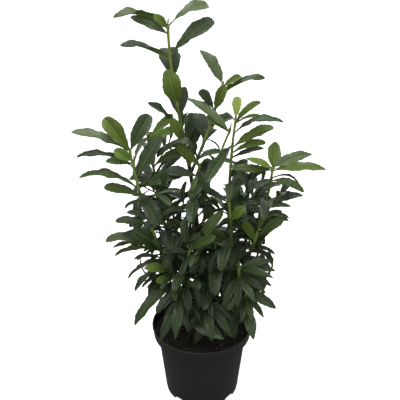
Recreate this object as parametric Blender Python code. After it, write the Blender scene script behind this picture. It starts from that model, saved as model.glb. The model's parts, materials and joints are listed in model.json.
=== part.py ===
"""Cherry laurel in its black nursery pot: the pot, its compost, the stems, boughs and leafy shoots.

The row frame is in metres with +Z up. The origin is on the floor, at the middle of the pot's flat
underside, and the front of the plant faces -Y. Every leafy shoot grows by one rule: leaves in a
spiral round a green stem. A leaf that finds its place taken is swung or tilted a little, or left out.
"""

import math
import random
from dataclasses import dataclass, replace

import bmesh
import bpy
from mathutils import Quaternion, Vector
from mathutils.bvhtree import BVHTree

MM = 0.001
GAP = 0.3 * MM

# The pot: a turned shell with a wide collar and drainage arches round its foot
POT_HEIGHT = 150 * MM
RIM_RADIUS = 95 * MM
COLLAR_HEIGHT = 22 * MM
COLLAR_FOOT_RADIUS = 92 * MM
NECK_RADIUS = 83.5 * MM
FOOT_RADIUS = 69 * MM
FOOT_ROUNDING = 4 * MM
POT_WALL = 2 * MM
POT_FLOOR = 3 * MM
POT_LIP = 1.2 * MM
POT_SIDES = 36
ARCH_COUNT = 4
ARCH_WIDTH = 26 * MM
ARCH_HEIGHT = 10 * MM
ARCH_DEPTH = 24 * MM
ARCH_FIRST_TURN = -40

# The compost that fills the pot
COMPOST_TOP = 134 * MM
COMPOST_SIDES = 24

# The stems
STEM_FOOT = COMPOST_TOP + GAP
FLARE_SHARE = 0.7
FLARE_REACH = 14 * MM
LIMB_SIDES = 6
LIMB_STEP = 44 * MM
TWIG_SIDES = 3
TWIG_STEP = 45 * MM
TWIG_TIP_RADIUS = 2.0 * MM
PATH_STEPS = 60

# The leaves
GOLDEN_TURN = 137.5
PETIOLE_SHARE = 0.11
PETIOLE_RADIUS = 1.0 * MM
BLADE_STATIONS = (0.14, 0.47, 0.81)
LEAF_WIDTH_SHARE = 0.285
LEAF_THICKNESS_SHARE = 0.02
LEAF_THICKNESS_LEAST = 1.2 * MM
HOOK_FROM = 0.55
FOLD = 23
# How far chance spreads each leaf's turn, opening, twist, roll and fold, in degrees, and its length
TURN_SPREAD = 12
OPENING_SPREAD = 8
TWIST_SPREAD = 24
ROLL_SPREAD = 22
FOLD_SPREAD = 9
LENGTH_SPREAD = 0.1
# The test for a free place grows a leaf's thickness by the clearance, and its width by a share of that
CLEARANCE = 1.6
SIDEWAYS_GROWTH = 0.1
# The turn about the stem and the tilt of each try at a free place, in degrees
SECOND_TRIES = (
    (0, 0), (12, 0), (-12, 0), (0, 12), (0, -12), (24, 6), (-24, 6),
    (16, -18), (-16, -18), (36, 0), (-36, 0),
)
LEAST_LENGTH_SHARE = 0.8

# The front view: the eye looks down at the plant, and the crown keeps these gaps and this outline for it
EYE = Vector((-4, -1400, 1186)) * MM
LOOK_DOWN = math.radians(28.8)
PICTURE_RIGHT = Vector((1, 0, 0))
PICTURE_UP = Vector((0, math.sin(LOOK_DOWN), math.cos(LOOK_DOWN)))
TO_THE_EYE = Vector((0, -math.cos(LOOK_DOWN), math.sin(LOOK_DOWN)))
# Each gap is a spot of sky at (x, z) on the plane y = 0, with its radius, in millimetres
SKY_GAPS = (
    (19, 438, 13), (-7, 397, 8), (-7, 376, 8), (27, 376, 11), (-30, 392, 5), (-36, 352, 4),
    (1, 325, 4), (-16, 621, 9), (-17, 599, 6), (26, 533, 12), (40, 521, 7), (10, 524, 5),
    (91, 508, 8), (-66, 508, 6), (-93, 488, 4), (34, 466, 8), (-7, 535, 5), (19, 400, 5),
    (-31, 404, 7), (3, 476, 5), (-16, 472, 4), (84, 424, 6),
)
GAP_MARGIN = 4
# The crown's left and right reach at each height, in millimetres on the plane y = 0
REACH = (
    (130, -62, 70), (190, -100, 112), (245, -108, 126), (300, -126, 132), (333, -132, 110),
    (352, -134, 126), (375, -130, 142), (400, -124, 146), (450, -128, 160), (500, -120, 100),
    (540, -105, 88), (580, -66, 50), (600, -62, 30), (620, -60, -22), (650, -60, -30),
    (700, -58, -44), (760, -56, -50),
)


@dataclass
class Pose:
    """How one leaf is held: how far down the shoot it sits, and how the front view shows it.

    Lengths are in millimetres and angles in degrees. The clock runs from the right of the view, and
    toward is the lean to the eye. The arch, the face to the eye, the width and the hook are shares.
    """

    down: float
    clock: float
    toward: float
    length: float
    arch: float = 0.08
    face: float = 0.3
    wide: float = 1.0
    hook: float = 0.05
    twist: float | None = None


@dataclass
class Shoot:
    """A stem that bends from its root over two handles to its tip: wood at first, then green and leafy.

    The fork is the share of the parent's path that it leaves from. Its leaves open by the two angles
    from the tip down, sag lower down, and follow the shown poses where the front view tells them apart.
    """

    name: str
    low: tuple
    high: tuple
    tip: tuple
    root: tuple = (0, 0)
    parent: str = ""
    fork: float = 0.0
    radius: float = 4.0
    wood: float = 0.3
    leaves: int = 12
    turn: float = 0.0
    length: float = 92.0
    tip_length: float = 70.0
    opening: tuple = (38, 88)
    sag: float = 0.25
    shown: tuple = ()
    slender: float = 1.0


# Sizes here are in millimetres. The shown leaves are those that the front view tells apart
SHOOTS = (
    Shoot(
        "leader", root=(-4, 10), low=(3, 12, 485), high=(-52, 0, 557), tip=(-55, -10, 737),
        radius=5.0, wood=0.54, leaves=17, turn=40,
        shown=(
            Pose(0, 30.5, -5, 74, 0.155, 0.45, 1.0, hook=0.04),
            Pose(2, 168, 5, 88, 0.11, -0.25, 1.15, twist=-110), Pose(4, 140, 30, 32, 0.02, 0.7, 1.8),
            Pose(14, 154, 0, 67, 0.08, 0.7, 0.95), Pose(50, 39.5, 5, 90, 0.08, 0.6, 1.05),
            Pose(60, 160, 0, 86, 0.07, -0.25, 1.1, twist=-110, hook=0.05),
            Pose(91, 100, -35, 74, 0.05, 0.8, 1.8), Pose(96, 82, -20, 50, 0.05, 0.7, 1.3),
            Pose(139, 106, 35, 61, 0.06, 0.75, 2.0, hook=0.2), Pose(168, 94, -28, 66, 0.05, 0.8, 2.2),
            Pose(205, 133, 15, 88, 0.05, -0.25, 1.15, twist=-110, hook=0.05),
            Pose(214, 122, 20, 54, 0.05, 0.7, 1.35), Pose(224, 79, -30, 79, 0.05, 0.7, 1.05),
            Pose(238, 70, -35, 86, 0.05, 0.7, 1.05), Pose(226, 194, 20, 54, 0.25, 0.3, 1.1),
            Pose(264, 83, -30, 58, 0.08, 0.6, 1.2), Pose(252, 121, 30, 42, 0.05, 0.6, 1.3),
        ),
    ),
    Shoot(
        "left", root=(-20, -8), low=(-29, -8, 260), high=(-91, -25, 300), tip=(-121, -40, 533),
        radius=4.6, wood=0.24, leaves=27, turn=70,
        shown=(
            Pose(0, 161, 0, 103, 0.05, 0.2, 0.85), Pose(2, 127, 15, 70, 0.04, 0.7, 1.6),
            Pose(3, 63, 0, 70, 0.03, 0.75, 1.65), Pose(33, 168, 5, 97, 0.13, 0.1, 0.65),
            Pose(20, 150, 50, 46, 0.05, 0.8, 1.6), Pose(27, 174, 25, 47, 0.08, 0.7, 1.05),
            Pose(56, 60, 0, 84, 0.03, 0.5, 1.15), Pose(78, 167, 5, 104, 0.17, 0.2, 0.7),
            Pose(92, 165, 20, 66, 0.06, 0.5, 1.1), Pose(101, 203, -30, 42, 0.08, 0.2),
            Pose(84, 302, 20, 70, 0.05, 0.65, 1.4), Pose(76, 20, 10, 84, 0.05, 0.6, 1.1),
            Pose(142, 161, -25, 46, 0.08, 0.25), Pose(156, 171, 10, 62, 0.08, 0.4),
            Pose(175, 180, 0, 56, 0.08, 0.2, 0.7), Pose(211, 141, 30, 70, 0.05, 0.7, 1.5),
            Pose(201, 167, 10, 95, 0.14, 0.3, 0.85), Pose(210, 177, 0, 86, 0.15, 0.2, 0.5),
            Pose(216, 184, 0, 84, 0.15, 0.25, 0.6), Pose(236, 180, -25, 66, 0.14, 0.2, 0.6),
            Pose(238, 204, 0, 76, 0.15, 0.2, 0.5), Pose(250, 216, 10, 76, 0.14, 0.25, 0.7),
            Pose(266, 207, 0, 62, 0.1, 0.2, 0.6), Pose(291, 225, 10, 111, 0.13, 0.45, 0.78),
            Pose(261, 170, 35, 58, 0.06, 0.8, 1.15), Pose(281, 188, 45, 44, 0.06, 0.8, 1.4),
        ),
    ),
    Shoot(
        "right", root=(26, 4), low=(45, 6, 165), high=(116, 2, 365), tip=(121, -12, 488),
        radius=4.6, wood=0.5, leaves=18, turn=10,
        shown=(
            Pose(3, 83, -15, 50, 0.03, 0.8, 1.85), Pose(2, 20, -10, 76, 0.11, 0.5, 1.0),
            Pose(8, 9, 10, 94, 0.06, 0.4, 0.8, hook=0.06), Pose(5, 157, 10, 50, 0.04, 0.45, 1.1),
            Pose(7, 176, 5, 70, -0.02, 0.5, 0.9), Pose(29, 342, 20, 62, 0.15, 0.4),
            Pose(24, 343, 0, 54, 0.30, 0.1, 0.5), Pose(84, 18, -5, 72, 0.12, 0.3, 1.0),
            Pose(88, 6, 0, 48, 0.14, 0.4, 0.85), Pose(102, 356, 0, 48, 0.08, 0.3),
            Pose(113, 1, 0, 50, 0.08, 0.3), Pose(170, 341, 0, 44, 0.10, 0.3, 0.8),
            Pose(179, 338, 0, 44, 0.10, 0.3, 0.8),
        ),
    ),
    Shoot(
        "middle", root=(14, 26), low=(80, 28, 190), high=(30, 22, 325), tip=(57, 18, 564),
        radius=4.2, wood=0.45, leaves=17, turn=120,
        shown=(
            Pose(0, 87, 20, 40, 0.03, 0.75, 1.5), Pose(10, 42, 10, 58, 0.16, 0.45, 0.95),
            Pose(9, 14, -10, 52, 0.15, 0.25, 0.75), Pose(27, 21, 5, 87, 0.15, 0.3, 0.75, hook=0.1),
            Pose(55, 28, 5, 80, 0.10, 0.5, 0.95), Pose(48, 234, 46, 112, 0.03, 0.5, 0.72),
            Pose(66, 19, 10, 62, 0.10, 0.45, 0.95), Pose(75, 19, -10, 62, 0.06, 0.35, 0.8),
            Pose(114, 46, 30, 48, 0.05, 0.6, 1.4),
        ),
    ),
    Shoot(
        "back_left", root=(-24, 28), low=(-30, 50, 240), high=(-80, 70, 300), tip=(-92, 112, 436),
        radius=4.0, wood=0.35, leaves=17, turn=95,
    ),
    Shoot(
        "back_right", root=(16, 48), low=(40, 60, 220), high=(86, 96, 280), tip=(92, 126, 404),
        radius=4.0, wood=0.35, leaves=17, turn=60,
    ),
    Shoot(
        "back_middle", parent="back_left", fork=0.2, low=(-20, 80, 220), high=(-8, 110, 260),
        tip=(-12, 130, 330),
        radius=2.6, wood=0.2, leaves=13, turn=60,
    ),
    Shoot(
        "leader_side", parent="leader", fork=0.55, low=(-4, 6, 500), high=(17, 10, 567),
        tip=(34, 12, 630),
        radius=2.6, wood=0.12, leaves=12, turn=300,
        shown=(
            Pose(0, 121, 5, 68, 0.04, 0.5, 1.25, hook=0.12), Pose(8, 35, -20, 44, 0.08, 0.5, 1.15),
            Pose(22, 36, 0, 84, 0.07, -0.2, 1.0, twist=110), Pose(49, 68, 35, 51, 0.05, 0.8, 1.35),
            Pose(50, 125, 10, 43, 0.04, 0.6, 1.6), Pose(108, 101, -35, 68, 0.05, 0.6, 1.35),
            Pose(102, 319, -10, 36, 0.15, 0.0, 0.6), Pose(148, 23, 0, 46, 0.18, 0.4, 1.1),
        ),
    ),
    Shoot(
        "leader_fork", parent="leader", fork=0.44, low=(15, 2, 440), high=(28, -6, 511),
        tip=(46, -12, 555),
        radius=2.4, wood=0.5, leaves=4, turn=200,
        shown=(
            Pose(0, 141, 0, 92, 0.04, 0.4, 0.8), Pose(3, 133, -15, 48, 0.05, 0.7, 1.5),
        ),
    ),
    Shoot(
        "left_side", parent="left", fork=0.26, low=(-60, 30, 300), high=(-84, 40, 420),
        tip=(-93, 24, 526),
        radius=3.0, wood=0.2, leaves=18, turn=150,
        shown=(
            Pose(3, 46, 5, 60, 0.04, 0.7), Pose(9, 30, 15, 62, 0.05, 0.6), Pose(14, 62, -20, 44, 0.04, 0.5),
            Pose(60, 30, 10, 66, 0.06, 0.45),
        ),
    ),
    Shoot(
        "inner_left", parent="leader", fork=0.16, low=(-28, 34, 240), high=(-46, 40, 300),
        tip=(-56, 40, 385),
        radius=2.6, wood=0.2, leaves=15, turn=200,
    ),
    Shoot(
        "centre", parent="leader", fork=0.27, low=(-18, 8, 330), high=(-22, -32, 415), tip=(-5, -36, 501),
        radius=2.4, wood=0.2, leaves=13, turn=320,
        shown=(
            Pose(0, 164, 5, 70, 0.55, 0.12, 1.0, hook=0.0), Pose(7, 292, 10, 44, 0.08, 0.5, 1.3),
            Pose(1, 138, 20, 60, 0.06, 0.6, 1.2), Pose(14, 250, 20, 34, 0.05, 0.5, 1.0),
            Pose(20, 162, 0, 54, 0.05, 0.5, 1.35),
        ),
    ),
    Shoot(
        "centre_right", parent="middle", fork=0.18, low=(30, 10, 260), high=(24, -6, 300),
        tip=(20, -16, 372),
        radius=2.4, wood=0.2, leaves=12, turn=170,
        shown=(
            Pose(6, 106, 10, 44, 0.05, 0.6, 1.3), Pose(12, 40, -10, 40, 0.05, 0.3),
        ),
    ),
    Shoot(
        "inner_middle", parent="leader", fork=0.1, low=(4, 0, 210), high=(16, 8, 240), tip=(20, 10, 290),
        radius=2.4, wood=0.2, leaves=11, turn=20,
    ),
    Shoot(
        "inner_right", parent="right", fork=0.32, low=(76, 26, 270), high=(90, 40, 320),
        tip=(80, 50, 385),
        radius=2.4, wood=0.2, leaves=13, turn=80,
    ),
    Shoot(
        "front_left", parent="left", fork=0.22, low=(-32, -30, 265), high=(-36, -50, 302),
        tip=(-21, -64, 352),
        radius=2.4, wood=0.2, leaves=11, turn=250, length=66, tip_length=54,
        shown=(
            Pose(2, 51, 10, 90, 0.04, 0.5, 0.78), Pose(0, 32, 35, 60, 0.05, 0.55),
            Pose(5, 176, 15, 48, 0.05, 0.4), Pose(14, 248, 20, 40, 0.06, 0.4),
        ),
    ),
    Shoot(
        "front_middle", parent="middle", fork=0.28, low=(53, 0, 290), high=(54, -50, 357),
        tip=(45, -60, 444),
        radius=2.6, wood=0.2, leaves=16, turn=20,
        shown=(
            Pose(0, 90, -30, 40, 0.03, 0.6, 1.2), Pose(5, 66, -30, 60, 0.04, 0.4),
            Pose(27, 79, -30, 66, 0.05, 0.7, 1.2), Pose(2, 149, -20, 52, 0.05, 0.4),
            Pose(39, 46, 40, 40, 0.05, 0.75, 1.6), Pose(109, 142, 15, 58, 0.04, 0.4),
            Pose(125, 64, -20, 44, 0.04, 0.4),
        ),
    ),
    Shoot(
        "front_right", parent="right", fork=0.48, low=(86, -20, 323), high=(92, -36, 346),
        tip=(96, -44, 377),
        radius=2.2, wood=0.15, leaves=9, turn=330,
        shown=(
            Pose(24, 121, 30, 47, 0.05, 0.75, 1.35), Pose(21, 38, 0, 62, 0.06, 0.6, 1.15),
        ),
    ),
    Shoot(
        "low_left", parent="left", fork=0.08, low=(-30, -26, 190), high=(-34, -44, 215),
        tip=(-38, -50, 254),
        radius=2.2, wood=0.2, leaves=11, turn=200, length=66, tip_length=52, slender=0.95,
        opening=(70, 125), sag=0.45,
        shown=(
            Pose(10, 244, 10, 90, 0.10, 0.5, 0.8), Pose(6, 262, 25, 84, 0.10, 0.5, 0.8),
            Pose(15, 280, 30, 62, 0.08, 0.5, 0.8), Pose(64, 328, 34, 98, 0.08, 0.75, 1.15, hook=0.0),
        ),
    ),
    Shoot(
        "low_corner", parent="left", fork=0.15, low=(-50, 6, 210), high=(-66, 12, 240),
        tip=(-78, 20, 300),
        radius=2.2, wood=0.2, leaves=12, turn=120, length=62, tip_length=50, slender=1.0,
        opening=(60, 115), sag=0.4,
    ),
    Shoot(
        "low_front", parent="leader", fork=0.04, low=(10, -22, 180), high=(10, -48, 200),
        tip=(10, -56, 245),
        radius=2.2, wood=0.2, leaves=12, turn=250, length=62, tip_length=50, slender=1.0,
        opening=(70, 125), sag=0.45,
        shown=(
            Pose(3, 285, 35, 38, 0.06, 0.5), Pose(8, 325, 20, 56, 0.08, 0.4, 0.9),
            Pose(12, 306, 15, 76, 0.10, 0.4, 0.8), Pose(19, 290, 30, 70, 0.10, 0.5, 0.9),
            Pose(26, 230, -5, 62, 0.08, 0.4, 0.9),
        ),
    ),
    Shoot(
        "low_right", parent="right", fork=0.3, low=(66, -30, 250), high=(66, -46, 270),
        tip=(65, -52, 309),
        radius=2.2, wood=0.2, leaves=14, turn=310, length=62, tip_length=50, slender=1.0,
        opening=(65, 120), sag=0.4,
        shown=(
            Pose(2, 14, 5, 60, 0.08, 0.5, 0.85), Pose(3, 357, 0, 66, 0.08, 0.4, 0.85),
            Pose(7, 350, 25, 66, 0.08, 0.4, 0.85), Pose(12, 338, 5, 64, 0.08, 0.4, 0.85),
            Pose(14, 324, 20, 62, 0.08, 0.45, 0.85), Pose(20, 301, 30, 60, 0.06, 0.5, 0.85),
            Pose(22, 266, 25, 60, 0.08, 0.4, 0.85), Pose(24, 240, 20, 64, 0.08, 0.4, 0.85),
            Pose(8, 174, 15, 52, 0.08, 0.4, 0.85),
        ),
    ),
    Shoot(
        "low_side", parent="right", fork=0.14, low=(66, -26, 200), high=(78, -46, 220),
        tip=(80, -56, 263),
        radius=2.2, wood=0.2, leaves=12, turn=15, length=62, tip_length=50, slender=1.0,
        opening=(60, 115), sag=0.35,
        shown=(
            Pose(1, 329, 8, 62, 0.08, 0.65, 1.1), Pose(14, 309, 8, 52, 0.06, 0.4, 0.85),
            Pose(40, 286, 30, 74, 0.08, 0.65, 1.15), Pose(17, 284, 30, 52, 0.06, 0.5, 0.9),
            Pose(24, 258, 38, 50, 0.08, 0.4, 0.85),
        ),
    ),
    Shoot(
        "low_edge", parent="right", fork=0.24, low=(84, 10, 240), high=(100, 20, 256), tip=(106, 26, 306),
        radius=2.2, wood=0.2, leaves=12, turn=200, length=62, tip_length=50, slender=1.0,
        opening=(60, 115), sag=0.35,
    ),
    Shoot(
        "low_back", parent="back_left", fork=0.1, low=(-50, 60, 170), high=(-60, 80, 200),
        tip=(-66, 92, 260),
        radius=2.2, wood=0.2, leaves=12, turn=100, length=70, tip_length=54, slender=0.95,
        opening=(60, 115), sag=0.35,
    ),
    Shoot(
        "low_back_side", parent="back_right", fork=0.1, low=(40, 76, 180), high=(44, 96, 200),
        tip=(44, 104, 262),
        radius=2.2, wood=0.2, leaves=12, turn=60, length=70, tip_length=54, slender=0.95,
        opening=(60, 115), sag=0.35,
    ),
)


# Curves and frames


def bent_path(root, low, high, tip):
    """Evenly spaced points on a curve that bends from its root over two handles to its tip."""
    fine = []
    for i in range(PATH_STEPS * 8 + 1):
        t = i / (PATH_STEPS * 8)
        rest = 1 - t
        fine.append(root * rest**3 + low * (3 * t * rest**2) + high * (3 * t**2 * rest) + tip * t**3)
    lengths = [0.0]
    for a, b in zip(fine, fine[1:]):
        lengths.append(lengths[-1] + (b - a).length)
    even, j = [], 0
    for i in range(PATH_STEPS + 1):
        wanted = lengths[-1] * i / PATH_STEPS
        while j < len(fine) - 2 and lengths[j + 1] < wanted:
            j += 1
        even.append(fine[j].lerp(fine[j + 1], (wanted - lengths[j]) / (lengths[j + 1] - lengths[j])))
    return even


def point_on(path, share):
    """The point at a share of a path's length."""
    i = min(int(share * PATH_STEPS), PATH_STEPS - 1)
    return path[i].lerp(path[i + 1], share * PATH_STEPS - i)


def direction_on(path, share):
    """The direction of travel at a share of a path's length."""
    reach = 0.6 / PATH_STEPS
    return (point_on(path, min(1, share + reach)) - point_on(path, max(0, share - reach))).normalized()


def length_of(path):
    """The whole length of a path."""
    return sum((b - a).length for a, b in zip(path, path[1:]))


def across(direction, reference=Vector((1, 0, 0))):
    """Two directions square to a stem: one as near the reference as can be, and one a quarter turn on."""
    first = (reference - direction * reference.dot(direction)).normalized()
    return first, direction.cross(first)


# Meshes


def solid_from(name, points, faces):
    """An object made of one closed mesh, with its faces turned outwards."""
    mesh = bpy.data.meshes.new(name)
    mesh.from_pydata([tuple(p) for p in points], [], faces)
    shape = bmesh.new()
    shape.from_mesh(mesh)
    bmesh.ops.recalc_face_normals(shape, faces=shape.faces)
    shape.to_mesh(mesh)
    shape.free()
    made = bpy.data.objects.new(name, mesh)
    bpy.context.scene.collection.objects.link(made)
    return made


def loft(rings, start_point=None, end_point=None):
    """Points and faces of a skin over equal rings, closed by a point or a flat cap at each end."""
    count = len(rings[0])
    points = [p for ring in rings for p in ring]
    faces = []
    for i in range(len(rings) - 1):
        for j in range(count):
            a, b = i * count + j, i * count + (j + 1) % count
            faces.append((a, b, b + count, a + count))
    last = (len(rings) - 1) * count
    if start_point is None:
        faces.append(tuple(reversed(range(count))))
    else:
        points.append(start_point)
        faces += [((j + 1) % count, j, len(points) - 1) for j in range(count)]
    if end_point is None:
        faces.append(tuple(range(last, last + count)))
    else:
        points.append(end_point)
        faces += [(last + j, last + (j + 1) % count, len(points) - 1) for j in range(count)]
    return points, faces


def tube(path, start, end, radius_at, sides, step, flat_foot=False):
    """A tapering limb along a path, as points and faces. A flat foot is cut level, to meet the ground."""
    spans = max(2, round(length_of(path) * (end - start) / step))
    rings = []
    for i in range(spans + 1):
        t = start + (end - start) * i / spans
        level = flat_foot and i == 0
        side, back = across(Vector((0, 0, 1)) if level else direction_on(path, t))
        radius = radius_at(t)
        centre = point_on(path, t)
        turns = [2 * math.pi * j / sides for j in range(sides)]
        rings.append([centre + (side * math.cos(a) + back * math.sin(a)) * radius for a in turns])
    return loft(rings)


def cut(target, cutters):
    """Takes closed cutters out of an object, and removes them."""
    for cutter in cutters:
        cutter.hide_render = True
        cutter.display_type = "WIRE"
        modifier = target.modifiers.new("cut", "BOOLEAN")
        modifier.operation = "DIFFERENCE"
        modifier.object = cutter
    bake_modifiers(target)
    for cutter in cutters:
        bpy.data.objects.remove(cutter)


def fuse(target, others):
    """Joins closed objects to the target by one union on a collection, and removes them."""
    collection = bpy.data.collections.new("fused")
    bpy.context.scene.collection.children.link(collection)
    for other in others:
        bpy.context.scene.collection.objects.unlink(other)
        collection.objects.link(other)
    modifier = target.modifiers.new("fuse", "BOOLEAN")
    modifier.operation = "UNION"
    modifier.operand_type = "COLLECTION"
    modifier.collection = collection
    bake_modifiers(target)
    for other in others:
        bpy.data.objects.remove(other)
    bpy.data.collections.remove(collection)


def bake_modifiers(target):
    """Applies an object's modifiers to its mesh."""
    bpy.context.view_layer.update()
    graph = bpy.context.evaluated_depsgraph_get()
    made = bpy.data.meshes.new_from_object(target.evaluated_get(graph))
    target.modifiers.clear()
    target.data = made


def keep_outer_skin(target):
    """Keeps one closed body, with its faces outwards: loose scraps and the skins of hollows go."""
    shape = bmesh.new()
    shape.from_mesh(target.data)
    left, islands = set(shape.faces), []
    while left:
        island, front = set(), [left.pop()]
        while front:
            face = front.pop()
            island.add(face)
            near = {f for edge in face.edges for f in edge.link_faces} & left
            left -= near
            front += near
        islands.append(island)
    largest = max(islands, key=len)
    bmesh.ops.delete(shape, geom=[f for f in shape.faces if f not in largest], context="FACES")
    bmesh.ops.recalc_face_normals(shape, faces=shape.faces)
    shape.to_mesh(target.data)
    shape.free()


def paint(target, name, colour, roughness):
    """Gives an object its own plain material."""
    material = bpy.data.materials.new(name)
    material.use_nodes = True
    shader = material.node_tree.nodes["Principled BSDF"]
    shader.inputs["Base Color"].default_value = (*colour, 1)
    shader.inputs["Roughness"].default_value = roughness
    target.data.materials.clear()
    target.data.materials.append(material)


# The pot and its compost


def turned(name, profile, sides):
    """A closed body of revolution from a profile of (radius, height) points that starts and ends on Z."""
    rings = []
    for radius, height in profile[1:-1]:
        turns = [2 * math.pi * j / sides for j in range(sides)]
        rings.append([Vector((radius * math.cos(a), radius * math.sin(a), height)) for a in turns])
    ends = [Vector((0, 0, profile[i][1])) for i in (0, -1)]
    return solid_from(name, *loft(rings, *ends))


def pot_outer_radius(height):
    """The radius of the pot's outer face between its rounded foot and its neck."""
    neck_height = POT_HEIGHT - COLLAR_HEIGHT
    return FOOT_RADIUS + (NECK_RADIUS - FOOT_RADIUS) * height / neck_height


def make_pot():
    """The thin shell, with drainage arches cut into the edge of its foot."""
    neck_height = POT_HEIGHT - COLLAR_HEIGHT
    profile = [
        (0, 0),
        (FOOT_RADIUS - FOOT_ROUNDING, 0),
        (FOOT_RADIUS - FOOT_ROUNDING * 0.3, FOOT_ROUNDING * 0.3),
        (pot_outer_radius(FOOT_ROUNDING), FOOT_ROUNDING),
        (NECK_RADIUS, neck_height),
        (COLLAR_FOOT_RADIUS, neck_height + 2 * MM),
        (RIM_RADIUS - 0.5 * MM, POT_HEIGHT - POT_LIP),
        (RIM_RADIUS - POT_LIP, POT_HEIGHT),
        (RIM_RADIUS - POT_WALL, POT_HEIGHT - POT_LIP),
        (COLLAR_FOOT_RADIUS - POT_WALL, neck_height + 5 * MM),
        (NECK_RADIUS - POT_WALL, neck_height + 2 * MM),
        (pot_outer_radius(POT_FLOOR) - POT_WALL, POT_FLOOR + 2 * MM),
        (pot_outer_radius(POT_FLOOR) - POT_WALL - 3 * MM, POT_FLOOR),
        (0, POT_FLOOR),
    ]
    pot = turned("pot", profile, POT_SIDES)
    arches = [make_arch(ARCH_FIRST_TURN + 360 * i / ARCH_COUNT) for i in range(ARCH_COUNT)]
    cut(pot, arches)
    paint(pot, "black plastic", (0.012, 0.012, 0.013), 0.5)


def make_arch(turn):
    """A round-topped cutter for one drainage arch, low in the pot's foot."""
    centre = FOOT_RADIUS - ARCH_DEPTH / 2
    steps = 6
    outline = [(-ARCH_WIDTH / 2, -3 * MM), (ARCH_WIDTH / 2, -3 * MM)]
    for i in range(steps + 1):
        a = math.pi * i / steps
        height = ARCH_HEIGHT * (0.25 + 0.75 * math.sin(a))
        outline.append((ARCH_WIDTH / 2 * math.cos(a), height))
    spin = Quaternion((0, 0, 1), math.radians(turn))
    ends = (centre, centre + ARCH_DEPTH * 2)
    rings = [[spin @ Vector((reach, x, z)) for x, z in outline] for reach in ends]
    return solid_from("arch", *loft(rings))


def make_compost():
    """The root ball: it fills the pot to just under the rim, clear of the wall and of the arches."""
    neck_height = POT_HEIGHT - COLLAR_HEIGHT
    foot = ARCH_HEIGHT + 2 * MM
    clear = POT_WALL + 2 * GAP
    profile = [
        (0, POT_FLOOR + GAP),
        (FOOT_RADIUS - ARCH_DEPTH / 2 - clear - 2 * MM, POT_FLOOR + GAP),
        (FOOT_RADIUS - ARCH_DEPTH / 2 - clear - 2 * MM, foot),
        (pot_outer_radius(foot) - clear, foot + 2 * MM),
        (NECK_RADIUS - clear, neck_height + 2 * MM),
        (NECK_RADIUS - clear + 2 * MM, COMPOST_TOP),
        (0, COMPOST_TOP),
    ]
    compost = turned("compost", profile, COMPOST_SIDES)
    paint(compost, "compost", (0.02, 0.014, 0.01), 0.95)


# The shoots


def path_of(shoot, paths):
    """A shoot's path in metres. A side shoot starts on its parent's path, a main stem at the compost."""
    if shoot.parent:
        root = point_on(paths[shoot.parent], shoot.fork)
    else:
        root = Vector((shoot.root[0] * MM, shoot.root[1] * MM, STEM_FOOT))
    return bent_path(root, Vector(shoot.low) * MM, Vector(shoot.high) * MM, Vector(shoot.tip) * MM)


def stem_solids(shoot, path, extra=0.0):
    """The woody limb and the green twig of a shoot, a gap apart. Both can be asked for extra girth."""
    length = length_of(path)

    def radius_at(share):
        plain = shoot.radius * MM * (1 - share) + TWIG_TIP_RADIUS * share
        flare = 0 if shoot.parent else FLARE_SHARE * math.exp(-share * length / FLARE_REACH)
        return plain * (1 + flare) + extra

    limb = tube(path, 0, shoot.wood, radius_at, LIMB_SIDES, LIMB_STEP, flat_foot=not shoot.parent)
    twig = tube(path, shoot.wood + GAP / length, 1.0, radius_at, TWIG_SIDES, TWIG_STEP)
    return limb, twig


def make_limb(shoot, paths, shoots):
    """The woody stem of a shoot, cut clear of the parent that carries it."""
    limb = solid_from(f"{shoot.name}_stem", *stem_solids(shoot, paths[shoot.name])[0])
    if shoot.parent:
        grown = stem_solids(shoots[shoot.parent], paths[shoot.parent], GAP * 1.2)
        cut(limb, [solid_from("cutter", *solid) for solid in grown])
        keep_outer_skin(limb)
    paint(limb, "bark", (0.12, 0.085, 0.05), 0.8)
    return limb


# The leaves


def half_width(share, length):
    """Half the width of a leaf's blade at a share of the way from its petiole to its tip."""
    widest = LEAF_WIDTH_SHARE * length / 2
    return widest * math.sin(math.pi * share**1.15) ** 0.8 if 0 < share < 1 else 0.0


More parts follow.
